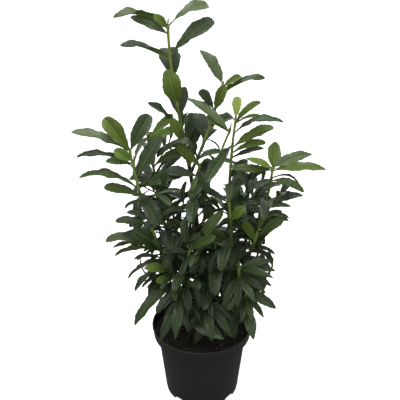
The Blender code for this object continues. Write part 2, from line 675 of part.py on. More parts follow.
@dataclass
class Leaf:
    """One leaf: where its petiole is rooted, how its chord points and how its blade is shaped."""

    root: Vector
    chord: Vector
    up: Vector
    length: float
    arch: float
    fold: float
    roll: float
    twist: float
    wide: float
    hook: float

    def frame(self, share):
        """The centre line's point, the side and the upward direction at a share of the leaf's length."""
        bend = max(0.0, (share - HOOK_FROM) / (1 - HOOK_FROM))
        rise = self.arch * 4 * share * (1 - share) - self.hook * bend**2
        slope = self.arch * 4 * (1 - 2 * share) - self.hook * 2 * bend / (1 - HOOK_FROM)
        centre = self.root + (self.chord * share + self.up * rise) * self.length
        along = (self.chord + self.up * slope).normalized()
        turn = Quaternion(along, math.radians(self.roll + self.twist * (share - 0.5)))
        side = turn @ self.up.cross(self.chord)
        return centre, side, along.cross(side)

    def shape(self, grow=1.0):
        """Points and faces of the leaf as a thin folded solid, grown in girth to test for clearance.

        Its upper and under sides share their diagonals, so that a twisted blade never crosses itself.
        """
        points = []
        thick = max(LEAF_THICKNESS_SHARE * self.length, LEAF_THICKNESS_LEAST) * grow
        fold = math.radians(self.fold)
        for share in (0.0, *BLADE_STATIONS):
            centre, side, up = self.frame(share)
            blade = (share - PETIOLE_SHARE) / (1 - PETIOLE_SHARE)
            half = max(half_width(blade, self.length * self.wide), PETIOLE_RADIUS)
            half *= 1 + (grow - 1) * SIDEWAYS_GROWTH
            lift = up * (half * math.sin(fold))
            reach = side * (half * math.cos(fold))
            thin = up * (thick / 2)
            points += [centre - reach + lift, centre - thin, centre + reach + lift, centre + thin]
        faces = [(3, 2, 1, 0)]
        for a in range(0, len(points) - 4, 4):
            for edge in (a, a + 2):
                for middle in (a + 1, a + 3):
                    faces += [(edge, middle, middle + 4), (edge, middle + 4, edge + 4)]
        tip = len(points)
        faces += [(tip - 4 + j, tip - 4 + (j + 1) % 4, tip) for j in range(4)]
        return [*points, self.frame(1.0)[0]], faces


def leaf_nodes(shoot, path):
    """The nodes of a shoot from the tip down: number, share of the way down, place, and pose if any."""
    first = shoot.wood + 0.02
    shares = [k / max(1, shoot.leaves - 1) for k in range(shoot.leaves)]
    places = [0.995 - (0.995 - first) * low for low in shares]
    poses = {}
    for pose in shoot.shown:
        place = 1 - pose.down * MM / length_of(path)
        k = min((k for k in range(shoot.leaves) if k not in poses), key=lambda k: abs(places[k] - place))
        poses[k], places[k] = pose, min(place, 0.998)
    return [(k, shares[k], places[k], poses.get(k)) for k in range(shoot.leaves)]


def plan_leaf(shoot, path, k, low, place, pose, chance):
    """The leaf that the rule gives at one node of a shoot."""
    root, along = point_on(path, place), direction_on(path, place)
    jitter = [chance.uniform(-1, 1) for _ in range(6)]
    if pose:
        clock, toward = math.radians(pose.clock), math.radians(pose.toward)
        flat = PICTURE_RIGHT * math.cos(clock) + PICTURE_UP * math.sin(clock)
        chord = flat * math.cos(toward) + TO_THE_EYE * math.sin(toward)
        length, arch, face, roll = pose.length * MM, pose.arch, pose.face, 0.0
        wide, hook = pose.wide, pose.hook
        twist = TWIST_SPREAD * jitter[3] if pose.twist is None else pose.twist
    else:
        side, back = across(along)
        turn = math.radians(shoot.turn + GOLDEN_TURN * k + TURN_SPREAD * jitter[0])
        opened = shoot.opening[0] + (shoot.opening[1] - shoot.opening[0]) * low**0.7
        opening = math.radians(opened + OPENING_SPREAD * jitter[1])
        outward = side * math.cos(turn) + back * math.sin(turn)
        chord = along * math.cos(opening) + outward * math.sin(opening)
        chord.z -= shoot.sag * low
        grown = shoot.tip_length + (shoot.length - shoot.tip_length) * min(1, 3 * low)
        length = grown * MM * (1 + LENGTH_SPREAD * jitter[2])
        arch, face, roll = 0.09 + 0.04 * jitter[3], 0.0, ROLL_SPREAD * jitter[5]
        wide, hook, twist = shoot.slender, 0.07 + 0.05 * jitter[1], TWIST_SPREAD * jitter[3]
    chord = chord.normalized()
    above = along * (1 - abs(face)) + TO_THE_EYE * face
    up = above - chord * above.dot(chord)
    if up.length < 0.2:
        up = Vector((0, 0, 1)) - chord * chord.z
    return Leaf(
        root=root,
        chord=chord,
        up=up.normalized(),
        length=length,
        arch=arch,
        fold=FOLD + FOLD_SPREAD * jitter[4],
        roll=roll,
        twist=twist,
        wide=wide,
        hook=hook,
    )


def turned_leaf(leaf, along, turn, tilt, share):
    """The same leaf swung about its stem and tilted, for a second try at a free place."""
    swing = Quaternion(along, math.radians(turn))
    chord, up = swing @ leaf.chord, swing @ leaf.up
    dip = Quaternion(up.cross(chord), math.radians(tilt))
    return replace(leaf, chord=dip @ chord, up=dip @ up, length=leaf.length * share)


def seen_at(point):
    """Where the eye sees a point, carried along its sight line to the plane y = 0, in millimetres."""
    sight = point - EYE
    met = EYE + sight * (-EYE.y / sight.y)
    return met.x / MM, met.z / MM


def keeps_the_view(leaf):
    """Whether a leaf stays inside the crown's outline and out of its gaps, as the eye sees them."""
    for share in (0.3, 0.55, 0.8, 1.0):
        x, z = seen_at(leaf.frame(share)[0])
        if any(math.hypot(x - a, z - b) < radius + GAP_MARGIN for a, b, radius in SKY_GAPS):
            return False
        left, right = reach_at(z)
        if not left < x < right:
            return False
    return True


def reach_at(height):
    """The crown's left and right reach at a height, between the rows of the outline."""
    for (low, *low_reach), (high, *high_reach) in zip(REACH, REACH[1:]):
        if low <= height <= high:
            share = (height - low) / (high - low)
            return [a + (b - a) * share for a, b in zip(low_reach, high_reach)]
    return (0, 0) if height > REACH[-1][0] else REACH[0][1:]


class Kept:
    """A leaf that found its place, with the trees and the ball that the tests of later leaves use."""

    def __init__(self, leaf):
        """Prepares a leaf for the tests. Its blade is the leaf beyond its petiole's root."""
        points, faces = leaf.shape(CLEARANCE)
        self.leaf = leaf
        self.whole = BVHTree.FromPolygons(points, faces)
        self.blade = BVHTree.FromPolygons(points, [face for face in faces if min(face) >= 4])
        self.middle = sum(points, Vector()) / len(points)
        self.reach = max((point - self.middle).length for point in points)


class Growth:
    """The plant as it grows: its paths, the search trees of its solid parts and the leaves in place."""

    def __init__(self, paths, limbs, stems):
        """Starts with no leaves and no sight lines."""
        self.paths = paths
        self.limbs = limbs
        self.stems = stems
        self.leaves = {name: [] for name in stems}
        self.sights = []

    def is_clear(self, tried, name):
        """Whether a leaf touches no limb or other shoot, nor, past its petiole, a leaf of its own shoot."""
        if any(tried.whole.overlap(limb) for limb in self.limbs):
            return False
        if any(tried.whole.overlap(stem) for other, stem in self.stems.items() if other != name):
            return False
        for other, kept in self.leaves.items():
            for near in kept:
                if (near.middle - tried.middle).length > near.reach + tried.reach:
                    continue
                own = other == name
                if near.blade.overlap(tried.blade) if own else near.whole.overlap(tried.whole):
                    return False
        return True

    def note_sights(self):
        """Notes the sight lines from the leaves that are placed so far to the eye."""
        for kept in sum(self.leaves.values(), []):
            for share in (0.3, 0.5, 0.7, 0.9):
                point = kept.leaf.frame(share)[0]
                self.sights.append((point, (EYE - point).normalized()))

    def hides(self, tried):
        """Whether a leaf stands in one of the noted sight lines."""
        for point, towards in self.sights:
            apart = tried.middle - point
            ahead = apart.dot(towards)
            if ahead > 0 and (apart - towards * ahead).length < tried.reach:
                if tried.whole.ray_cast(point, towards)[0] is not None:
                    return True
        return False

    def try_leaf(self, shoot, node, wanted):
        """Seeks a free place near the one that the rule gives, and keeps the leaf if there is one."""
        place, shown = node[2:]
        along = direction_on(self.paths[shoot.name], place)
        for share in (1.0, LEAST_LENGTH_SHARE):
            for turn, tilt in SECOND_TRIES:
                leaf = turned_leaf(wanted, along, turn, tilt, share)
                if not shown and not keeps_the_view(leaf):
                    continue
                tried = Kept(leaf)
                if not self.hides(tried) and self.is_clear(tried, shoot.name):
                    self.leaves[shoot.name].append(tried)
                    return


def tree_of(target):
    """A search tree over an object's mesh."""
    mesh = target.data
    return BVHTree.FromPolygons([v.co for v in mesh.vertices], [tuple(p.vertices) for p in mesh.polygons])


def grow_leaves(growth):
    """Places the leaves that the front view tells apart first, and then the rest of every shoot."""
    plans = []
    for shoot in SHOOTS:
        chance = random.Random(shoot.name)
        path = growth.paths[shoot.name]
        for node in leaf_nodes(shoot, path):
            plans.append((shoot, node, plan_leaf(shoot, path, *node, chance)))
    for shown in (True, False):
        for shoot, node, wanted in plans:
            if bool(node[3]) == shown:
                growth.try_leaf(shoot, node, wanted)
        if shown:
            growth.note_sights()


def make_shoots():
    """All limbs first, then all green stems, then each shoot's leaves, clear of what was made before."""
    shoots = {shoot.name: shoot for shoot in SHOOTS}
    paths = {}
    for shoot in SHOOTS:
        paths[shoot.name] = path_of(shoot, paths)
    limbs = [make_limb(shoot, paths, shoots) for shoot in SHOOTS]
    stems = {}
    for shoot in SHOOTS:
        stems[shoot.name] = solid_from(f"{shoot.name}_leaves", *stem_solids(shoot, paths[shoot.name])[1])
    solids = [bpy.data.objects[name] for name in ("pot", "compost")] + limbs
    stem_trees = {name: tree_of(stem) for name, stem in stems.items()}
    growth = Growth(paths, [tree_of(solid) for solid in solids], stem_trees)
    grow_leaves(growth)
    for name, mass in stems.items():
        fuse(mass, [solid_from("leaf", *kept.leaf.shape()) for kept in growth.leaves[name]])
        keep_outer_skin(mass)
        paint(mass, "leaf green", (0.045, 0.09, 0.02), 0.4)


def main():
    """Clears the scene and builds the plant in its pot."""
    for old in list(bpy.data.objects):
        bpy.data.objects.remove(old)
    make_pot()
    make_compost()
    make_shoots()


if __name__ == "__main__":
    main()
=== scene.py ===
"""The looks of a young cherry laurel in its black nursery pot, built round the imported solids.

Sizes are in metres in the row frame, with +Z up and the front of the plant facing -Y. The shoots grow by
the rule that the solids follow, and are carried on here to side twigs, buds and leaf blades with their ribs
and veins.
"""

import json
import logging
import math
import random
from collections.abc import Callable, Iterable, Sequence
from dataclasses import dataclass, field, replace
from enum import Enum
from typing import Any

import bmesh
import bpy
import numpy as np
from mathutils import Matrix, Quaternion, Vector, noise
from mathutils.bvhtree import BVHTree

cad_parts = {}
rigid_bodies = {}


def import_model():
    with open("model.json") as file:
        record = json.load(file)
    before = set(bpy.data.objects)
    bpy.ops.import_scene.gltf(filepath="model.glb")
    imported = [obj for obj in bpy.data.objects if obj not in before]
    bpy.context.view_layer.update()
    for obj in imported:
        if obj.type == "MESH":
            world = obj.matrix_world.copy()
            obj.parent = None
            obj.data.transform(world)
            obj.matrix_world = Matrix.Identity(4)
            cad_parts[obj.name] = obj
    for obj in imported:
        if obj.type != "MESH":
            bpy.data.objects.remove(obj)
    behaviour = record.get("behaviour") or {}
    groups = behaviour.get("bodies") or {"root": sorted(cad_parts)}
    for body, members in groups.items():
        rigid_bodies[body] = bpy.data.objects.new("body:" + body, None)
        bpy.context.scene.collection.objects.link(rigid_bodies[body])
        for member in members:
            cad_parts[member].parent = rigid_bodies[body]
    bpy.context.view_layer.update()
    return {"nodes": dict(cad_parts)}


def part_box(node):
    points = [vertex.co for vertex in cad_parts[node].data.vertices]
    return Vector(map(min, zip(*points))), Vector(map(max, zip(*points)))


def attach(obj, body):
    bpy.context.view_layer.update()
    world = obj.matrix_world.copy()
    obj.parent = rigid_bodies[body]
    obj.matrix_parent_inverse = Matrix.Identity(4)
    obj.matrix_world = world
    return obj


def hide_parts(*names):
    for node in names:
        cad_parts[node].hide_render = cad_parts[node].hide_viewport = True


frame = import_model()

Colour = tuple[float, float, float]
Place = tuple[float, float, float]
Pair = tuple[float, float]
Path = list[Vector]
Girth = Callable[[float], float]
Array = np.ndarray
Solid = tuple[list[Vector], list[tuple[int, ...]]]

MM = 0.001
GAP = 0.3 * MM
BODY = "root"
SKY = Vector((0, 0, 1))

# The pot and its compost, as the solids have them
POT_HEIGHT = 150 * MM
RIM_RADIUS = 95 * MM
COLLAR_HEIGHT = 22 * MM
COLLAR_FOOT_RADIUS = 92 * MM
NECK_RADIUS = 83.5 * MM
FOOT_RADIUS = 69 * MM
FOOT_ROUNDING = 4 * MM
POT_WALL = 2 * MM
POT_FLOOR = 3 * MM
ARCH_COUNT = 4
ARCH_WIDTH = 26 * MM
ARCH_HEIGHT = 10 * MM
ARCH_DEPTH = 24 * MM
ARCH_FIRST_TURN = -40
COMPOST_TOP = 134 * MM

# The stems
STEM_FOOT = COMPOST_TOP + GAP
FLARE_SHARE = 0.7
FLARE_REACH = 14 * MM
TWIG_SIDES = 3
TWIG_STEP = 45 * MM
TWIG_TIP_RADIUS = 2.0 * MM
PATH_STEPS = 60

# The leaves
GOLDEN_TURN = 137.5
PETIOLE_SHARE = 0.11
PETIOLE_RADIUS = 1.0 * MM
BLADE_STATIONS = (0.14, 0.47, 0.81)
LEAF_WIDTH_SHARE = 0.285
LEAF_THICKNESS_SHARE = 0.02
LEAF_THICKNESS_LEAST = 1.2 * MM
HOOK_FROM = 0.55
FOLD = 23
# How far chance spreads each leaf's turn, opening, twist, roll and fold, in degrees, and its length
TURN_SPREAD = 12
OPENING_SPREAD = 8
TWIST_SPREAD = 24
ROLL_SPREAD = 22
FOLD_SPREAD = 9
LENGTH_SPREAD = 0.1
# A leaf whose upward direction would come out shorter than this takes another one
LEAST_UPWARD = 0.2
# The test for a free place grows a leaf's thickness by the clearance, and its width by a share of that
CLEARANCE = 1.6
SIDEWAYS_GROWTH = 0.1
# The turn about the stem and the tilt of each try at a free place, in degrees
SECOND_TRIES = (
    (0, 0), (12, 0), (-12, 0), (0, 12), (0, -12), (24, 6), (-24, 6), (16, -18), (-16, -18),
    (36, 0), (-36, 0),
)
LEAST_LENGTH_SHARE = 0.8

# The front view: the eye looks down at the plant, and the crown keeps these gaps and this outline for it
EYE = Vector((-4, -1400, 1186)) * MM
LOOK_DOWN = math.radians(28.8)
PICTURE_SIZE = 400
FOCAL_PIXELS = 903.8
PICTURE_RIGHT = Vector((1, 0, 0))
PICTURE_UP = Vector((0, math.sin(LOOK_DOWN), math.cos(LOOK_DOWN)))
TO_THE_EYE = Vector((0, -math.cos(LOOK_DOWN), math.sin(LOOK_DOWN)))
# Each gap is a spot of sky at (x, z) on the plane y = 0, with its radius, in millimetres
SKY_GAPS = (
    (19, 438, 13), (-7, 397, 8), (-7, 376, 8), (27, 376, 11), (-30, 392, 5), (-36, 352, 4), (1, 325, 4),
    (-16, 621, 9), (-17, 599, 6), (26, 533, 12), (40, 521, 7), (10, 524, 5), (91, 508, 8), (-66, 508, 6),
    (-93, 488, 4), (34, 466, 8), (-7, 535, 5), (19, 400, 5), (-31, 404, 7), (3, 476, 5), (-16, 472, 4),
    (84, 424, 6),
)
GAP_MARGIN = 4
# The shares of a leaf's length at which it is held against the gaps and the outline, and at which the eye
# has to see a leaf in plain sight
VIEW_SHARES = (0.3, 0.55, 0.8, 1.0)
SIGHT_SHARES = (0.3, 0.5, 0.7, 0.9)
# The crown's left and right reach at each height, in millimetres on the plane y = 0
REACH = (
    (130, -62, 70), (190, -100, 112), (245, -108, 126), (300, -126, 132), (333, -132, 110),
    (352, -134, 126), (375, -130, 142), (400, -124, 146), (450, -128, 160), (500, -120, 100),
    (540, -105, 88), (580, -66, 50), (600, -62, 30), (620, -60, -22), (650, -60, -30), (700, -58, -44),
    (760, -56, -50),
)


# Colours


@dataclass(frozen=True)
class LeafColours:
    """The linear colours of one age of leaf: its blade, the veins, the midrib and the underside."""

    blade: Colour
    vein: Colour
    rib: Colour
    under: Colour
    roughness: float


class Tint(Enum):
    """The tints of leaf that the crown shows, by age from the shaded inside to the youngest tips, with a
    painted sheen in one grey-green tint and painted light shining through the brightest young one.
    """

    DEEP = LeafColours(
        (0.022, 0.040, 0.012), (0.044, 0.073, 0.028), (0.084, 0.122, 0.045), (0.060, 0.090, 0.025),
        roughness=0.50,
    )
    MID = LeafColours(
        (0.032, 0.058, 0.016), (0.060, 0.098, 0.036), (0.118, 0.168, 0.056), (0.080, 0.125, 0.020),
        roughness=0.48,
    )
    LEAF = LeafColours(
        (0.050, 0.088, 0.015), (0.078, 0.126, 0.030), (0.155, 0.220, 0.055), (0.095, 0.150, 0.022),
        roughness=0.50,
    )
    OLIVE = LeafColours(
        (0.088, 0.142, 0.014), (0.102, 0.160, 0.022), (0.170, 0.230, 0.050), (0.110, 0.165, 0.025),
        roughness=0.55,
    )
    # A mid green with a painted sheen: the grey of glossy leaves mirroring the overhead light, put into
    # every colour of this tint.
    PALE = LeafColours(
        (0.090, 0.134, 0.052), (0.102, 0.150, 0.062), (0.150, 0.210, 0.080), (0.120, 0.175, 0.045),
        roughness=0.46,
    )
    FRESH = LeafColours(
        (0.150, 0.240, 0.042), (0.172, 0.265, 0.056), (0.240, 0.330, 0.090), (0.180, 0.255, 0.050),
        roughness=0.50,
    )
    # A young yellow-green, raised far past its own colour by painted light shining through the leaf from
    # behind.
    YOUNG = LeafColours(
        (0.400, 0.500, 0.110), (0.430, 0.530, 0.135), (0.480, 0.580, 0.170), (0.400, 0.500, 0.120),
        roughness=0.50,
    )


DEEP, MID, LEAF, OLIVE, PALE, FRESH, YOUNG = Tint


# The growth rule's data


@dataclass
class Pose:
    """How one leaf is held: how far down the shoot it sits, and how the front view shows it.

    Lengths are in millimetres and angles in degrees. The clock runs from the right of the view, and
    toward is the lean to the eye. The arch, the face to the eye, the width and the hook are shares.
    """

    down: float
    clock: float
    toward: float
    length: float
    arch: float = 0.08
    face: float = 0.3
    wide: float = 1.0
    tint: Tint | None = None
    blunt: float | None = None
    hook: float = 0.05
    twist: float | None = None


@dataclass
class Shoot:
    """A stem that bends from its root over two handles to its tip: wood at first, then green with leaves.

    Sizes are in millimetres and angles in degrees. The fork is a share of the parent's path. The wood ends
    and the side twigs stop at the shares wood and twiggy of its own, and the green stretch turns bright at
    its share bright.
    """

    name: str
    low: Place
    high: Place
    tip: Place
    root: Pair = (0, 0)
    parent: str = ""
    fork: float = 0.0
    radius: float = 4.0
    wood: float = 0.3
    leaves: int = 12
    turn: float = 0.0
    length: float = 92.0
    tip_length: float = 70.0
    opening: Pair = (38, 88)
    sag: float = 0.25
    shown: tuple[Pose, ...] = ()
    tips: Tint = MID
    inner: Tint = DEEP
    blunt: float = 0.75
    bright: float = 0.62
    slender: float = 1.0
    twiggy: float = 0.86


def low_shoot(name: str, low: Place, high: Place, tip: Place, **own: Any) -> Shoot:
    """A short shoot low in the crown, with small pointed leaves that open wide and hang."""
    shared = {
        "radius": 2.2, "wood": 0.2, "length": 62, "tip_length": 50, "opening": (60, 115), "sag": 0.35,
        "blunt": 0.0,
    }
    return Shoot(name, low, high, tip, **(shared | own))


# The shown leaves are those that the front view tells apart
SHOOTS = (
    Shoot(
        "leader", root=(-4, 10), low=(3, 12, 485), high=(-52, 0, 557), tip=(-55, -10, 737),
        radius=5.0, wood=0.54, leaves=17, turn=40, inner=MID, bright=0.5, twiggy=0.66,
        shown=(
            Pose(0, 30.5, -5, 74, 0.155, 0.45, 1.0, PALE, blunt=1.4, hook=0.04),
            Pose(2, 168, 5, 88, 0.11, -0.25, 1.15, LEAF, blunt=0.2, twist=-110),
            Pose(4, 140, 30, 32, 0.02, 0.7, 1.8, OLIVE, blunt=0.6),
            Pose(14, 154, 0, 67, 0.08, 0.7, 0.95, PALE, blunt=0.3),
            Pose(50, 39.5, 5, 90, 0.08, 0.6, 1.05, MID, blunt=1.1),
            Pose(60, 160, 0, 86, 0.07, -0.25, 1.1, MID, blunt=0.2, twist=-110),
            Pose(91, 100, -35, 74, 0.05, 0.8, 1.8, DEEP, blunt=0.6),
            Pose(96, 82, -20, 50, 0.05, 0.7, 1.3, DEEP),
            Pose(139, 106, 35, 61, 0.06, 0.75, 2.0, OLIVE, blunt=0.6, hook=0.2),
            Pose(168, 94, -28, 66, 0.05, 0.8, 2.2, DEEP, blunt=0.8),
            Pose(205, 133, 15, 88, 0.05, -0.25, 1.15, DEEP, blunt=0.2, twist=-110),
            Pose(214, 122, 20, 54, 0.05, 0.7, 1.35, OLIVE), Pose(224, 79, -30, 79, 0.05, 0.7, 1.05, DEEP),
            Pose(238, 70, -35, 86, 0.05, 0.7, 1.05, DEEP), Pose(226, 194, 20, 54, 0.25, 0.3, 1.1, DEEP),
            Pose(264, 83, -30, 58, 0.08, 0.6, 1.2, DEEP), Pose(252, 121, 30, 42, 0.05, 0.6, 1.3, LEAF),
        ),
    ),
    Shoot(
        "left", root=(-20, -8), low=(-29, -8, 260), high=(-91, -25, 300), tip=(-121, -40, 533),
        radius=4.6, wood=0.24, leaves=27, turn=70, inner=MID, bright=0.1,
        shown=(
            Pose(0, 161, 0, 103, 0.05, 0.2, 0.85, PALE), Pose(2, 127, 15, 70, 0.04, 0.7, 1.6, OLIVE),
            Pose(3, 63, 0, 70, 0.03, 0.75, 1.65, MID, blunt=0.7),
            Pose(33, 168, 5, 97, 0.13, 0.1, 0.65, DEEP), Pose(20, 150, 50, 46, 0.05, 0.8, 1.6, FRESH),
            Pose(27, 174, 25, 47, 0.08, 0.7, 1.05, LEAF),
            Pose(56, 60, 0, 84, 0.03, 0.5, 1.15, MID, blunt=0.3),
            Pose(78, 167, 5, 104, 0.17, 0.2, 0.7, LEAF), Pose(92, 165, 20, 66, 0.06, 0.5, 1.1, LEAF),
            Pose(101, 203, -30, 42, 0.08, 0.2), Pose(84, 302, 20, 70, 0.05, 0.65, 1.4, DEEP),
            Pose(76, 20, 10, 84, 0.05, 0.6, 1.1, MID), Pose(142, 161, -25, 46, 0.08, 0.25),
            Pose(156, 171, 10, 62, 0.08, 0.4), Pose(175, 180, 0, 56, 0.08, 0.2, 0.7, DEEP),
            Pose(211, 141, 30, 70, 0.05, 0.7, 1.5, MID), Pose(201, 167, 10, 95, 0.14, 0.3, 0.85, PALE),
            Pose(210, 177, 0, 86, 0.15, 0.2, 0.5, LEAF), Pose(216, 184, 0, 84, 0.15, 0.25, 0.6, LEAF),
            Pose(236, 180, -25, 66, 0.14, 0.2, 0.6), Pose(238, 204, 0, 76, 0.15, 0.2, 0.5, DEEP),
            Pose(250, 216, 10, 76, 0.14, 0.25, 0.7, DEEP), Pose(266, 207, 0, 62, 0.1, 0.2, 0.6, DEEP),
            Pose(291, 225, 10, 111, 0.13, 0.45, 0.78, MID, blunt=0.2),
            Pose(261, 170, 35, 58, 0.06, 0.8, 1.15, FRESH), Pose(281, 188, 45, 44, 0.06, 0.8, 1.4, FRESH),
        ),
    ),
    Shoot(
        "right", root=(26, 4), low=(45, 6, 165), high=(116, 2, 365), tip=(121, -12, 488),
        radius=4.6, wood=0.5, leaves=18, turn=10, tips=LEAF, blunt=0.4, bright=0.9,
        shown=(
            Pose(3, 83, -15, 50, 0.03, 0.8, 1.85, OLIVE, blunt=0.0),
            Pose(2, 20, -10, 76, 0.11, 0.5, 1.0, PALE, blunt=0.0),
            Pose(8, 9, 10, 94, 0.06, 0.4, 0.8, OLIVE, blunt=0.0, hook=0.06),
            Pose(5, 157, 10, 50, 0.04, 0.45, 1.1, FRESH, blunt=0.0),
            Pose(7, 176, 5, 70, -0.02, 0.5, 0.9, LEAF), Pose(29, 342, 20, 62, 0.15, 0.4, tint=LEAF),
            Pose(24, 343, 0, 54, 0.3, 0.1, 0.5, DEEP), Pose(84, 18, -5, 72, 0.12, 0.3, 1.0, DEEP),
            Pose(88, 6, 0, 48, 0.14, 0.4, 0.85, PALE), Pose(102, 356, 0, 48, 0.08, 0.3, tint=MID),
            Pose(113, 1, 0, 50, 0.08, 0.3, tint=MID), Pose(170, 341, 0, 44, 0.1, 0.3, 0.8),
            Pose(179, 338, 0, 44, 0.1, 0.3, 0.8),
        ),
    ),
    Shoot(
        "middle", root=(14, 26), low=(80, 28, 190), high=(30, 22, 325), tip=(57, 18, 564),
        radius=4.2, wood=0.45, leaves=17, turn=120, tips=LEAF, inner=MID, twiggy=0.7, bright=0.6,
        shown=(
            Pose(0, 87, 20, 40, 0.03, 0.75, 1.5, YOUNG, blunt=1.0),
            Pose(10, 42, 10, 58, 0.16, 0.45, 0.95, OLIVE), Pose(9, 14, -10, 52, 0.15, 0.25, 0.75, FRESH),
            Pose(27, 21, 5, 87, 0.15, 0.3, 0.75, MID, hook=0.1),
            Pose(55, 28, 5, 80, 0.1, 0.5, 0.95, OLIVE, blunt=0.8),
            Pose(48, 234, 46, 112, 0.03, 0.5, 0.72, MID), Pose(66, 19, 10, 62, 0.1, 0.45, 0.95, OLIVE),
            Pose(75, 19, -10, 62, 0.06, 0.35, 0.8, DEEP), Pose(114, 46, 30, 48, 0.05, 0.6, 1.4, MID),
        ),
    ),
    Shoot(
        "back_left", root=(-24, 28), low=(-30, 50, 240), high=(-80, 70, 300), tip=(-92, 112, 436),
        radius=4.0, wood=0.35, leaves=17, turn=95,
    ),
    Shoot(
        "back_right", root=(16, 48), low=(40, 60, 220), high=(86, 96, 280), tip=(92, 126, 404),
        radius=4.0, wood=0.35, leaves=17, turn=60,
    ),
    Shoot(
        "back_middle", parent="back_left", fork=0.2,
        low=(-20, 80, 220), high=(-8, 110, 260), tip=(-12, 130, 330),
        radius=2.6, wood=0.2, leaves=13, turn=60,
    ),
    Shoot(
        "leader_side", parent="leader", fork=0.55, low=(-4, 6, 500), high=(17, 10, 567), tip=(34, 12, 630),
        radius=2.6, wood=0.12, leaves=12, turn=300, inner=MID, bright=0.3, twiggy=0.3,
        shown=(
            Pose(0, 121, 5, 68, 0.04, 0.5, 1.25, PALE, blunt=0.2, hook=0.12),
            Pose(8, 35, -20, 44, 0.08, 0.5, 1.15, OLIVE),
            Pose(22, 36, 0, 84, 0.07, -0.2, 1.0, MID, blunt=0.3, twist=110),
            Pose(49, 68, 35, 51, 0.05, 0.8, 1.35, OLIVE),
            Pose(50, 125, 10, 43, 0.04, 0.6, 1.6, DEEP, blunt=1.0),
            Pose(108, 101, -35, 68, 0.05, 0.6, 1.35, DEEP), Pose(102, 319, -10, 36, 0.15, 0.0, 0.6, DEEP),
            Pose(148, 23, 0, 46, 0.18, 0.4, 1.1, PALE),
        ),
    ),
    Shoot(
        "leader_fork", parent="leader", fork=0.44, low=(15, 2, 440), high=(28, -6, 511), tip=(46, -12, 555),
        radius=2.4, wood=0.5, leaves=4, turn=200, inner=MID, bright=0.3, twiggy=0.0,
        shown=(
            Pose(0, 141, 0, 92, 0.04, 0.4, 0.8, PALE, blunt=0.2),
            Pose(3, 133, -15, 48, 0.05, 0.7, 1.5, FRESH),
        ),
    ),
    Shoot(
        "left_side", parent="left", fork=0.26, low=(-60, 30, 300), high=(-84, 40, 420), tip=(-93, 24, 526),
        radius=3.0, wood=0.2, leaves=18, turn=150, tips=FRESH,
        shown=(
            Pose(3, 46, 5, 60, 0.04, 0.7, tint=FRESH), Pose(9, 30, 15, 62, 0.05, 0.6, tint=FRESH),
            Pose(14, 62, -20, 44, 0.04, 0.5, tint=PALE), Pose(60, 30, 10, 66, 0.06, 0.45, tint=LEAF),
        ),
    ),
    Shoot(
        "inner_left", parent="leader", fork=0.16,
        low=(-28, 34, 240), high=(-46, 40, 300), tip=(-56, 40, 385),
        radius=2.6, wood=0.2, leaves=15, turn=200, tips=DEEP,
    ),
    Shoot(
        "centre", parent="leader", fork=0.27, low=(-18, 8, 330), high=(-22, -32, 415), tip=(-5, -36, 501),
        radius=2.4, wood=0.2, leaves=13, turn=320, tips=DEEP, twiggy=0.6, bright=1.0,
        shown=(
            Pose(0, 164, 5, 70, 0.55, 0.12, 1.0, DEEP, hook=0.0), Pose(7, 292, 10, 44, 0.08, 0.5, 1.3, DEEP),
            Pose(1, 138, 20, 60, 0.06, 0.6, 1.2, OLIVE), Pose(14, 250, 20, 34, 0.05, 0.5, 1.0, LEAF),
            Pose(20, 162, 0, 54, 0.05, 0.5, 1.35, DEEP),
        ),
    ),
    Shoot(
        "centre_right", parent="middle", fork=0.18,
        low=(30, 10, 260), high=(24, -6, 300), tip=(20, -16, 372),
        radius=2.4, wood=0.2, leaves=12, turn=170,
        shown=(
            Pose(6, 106, 10, 44, 0.05, 0.6, 1.3), Pose(12, 40, -10, 40, 0.05, 0.3),
        ),
    ),
    Shoot(
        "inner_middle", parent="leader", fork=0.1, low=(4, 0, 210), high=(16, 8, 240), tip=(20, 10, 290),
        radius=2.4, wood=0.2, leaves=11, turn=20, tips=DEEP,
    ),
    Shoot(
        "inner_right", parent="right", fork=0.32, low=(76, 26, 270), high=(90, 40, 320), tip=(80, 50, 385),
        radius=2.4, wood=0.2, leaves=13, turn=80, tips=DEEP,
    ),
    Shoot(
        "front_left", parent="left", fork=0.22,
        low=(-32, -30, 265), high=(-36, -50, 302), tip=(-21, -64, 352),
        radius=2.4, wood=0.2, leaves=11, turn=250, length=66, tip_length=54, bright=0.0,
        shown=(
            Pose(2, 51, 10, 90, 0.04, 0.5, 0.78, LEAF), Pose(0, 32, 35, 60, 0.05, 0.55, tint=LEAF),
            Pose(5, 176, 15, 48, 0.05, 0.4), Pose(14, 248, 20, 40, 0.06, 0.4),
        ),
    ),
    Shoot(
        "front_middle", parent="middle", fork=0.28,
        low=(53, 0, 290), high=(54, -50, 357), tip=(45, -60, 444),
        radius=2.6, wood=0.2, leaves=16, turn=20, tips=LEAF, bright=0.8,
        shown=(
            Pose(0, 90, -30, 40, 0.03, 0.6, 1.2, MID), Pose(5, 66, -30, 60, 0.04, 0.4, tint=DEEP),
            Pose(27, 79, -30, 66, 0.05, 0.7, 1.2, MID), Pose(2, 149, -20, 52, 0.05, 0.4, tint=DEEP),
            Pose(39, 46, 40, 40, 0.05, 0.75, 1.6, OLIVE), Pose(109, 142, 15, 58, 0.04, 0.4, tint=LEAF),
            Pose(125, 64, -20, 44, 0.04, 0.4),
        ),
    ),
    Shoot(
        "front_right", parent="right", fork=0.48,
        low=(86, -20, 323), high=(92, -36, 346), tip=(96, -44, 377),
        radius=2.2, wood=0.15, leaves=9, turn=330, tips=LEAF,
        shown=(
            Pose(24, 121, 30, 47, 0.05, 0.75, 1.35, OLIVE), Pose(21, 38, 0, 62, 0.06, 0.6, 1.15),
        ),
    ),
    low_shoot(
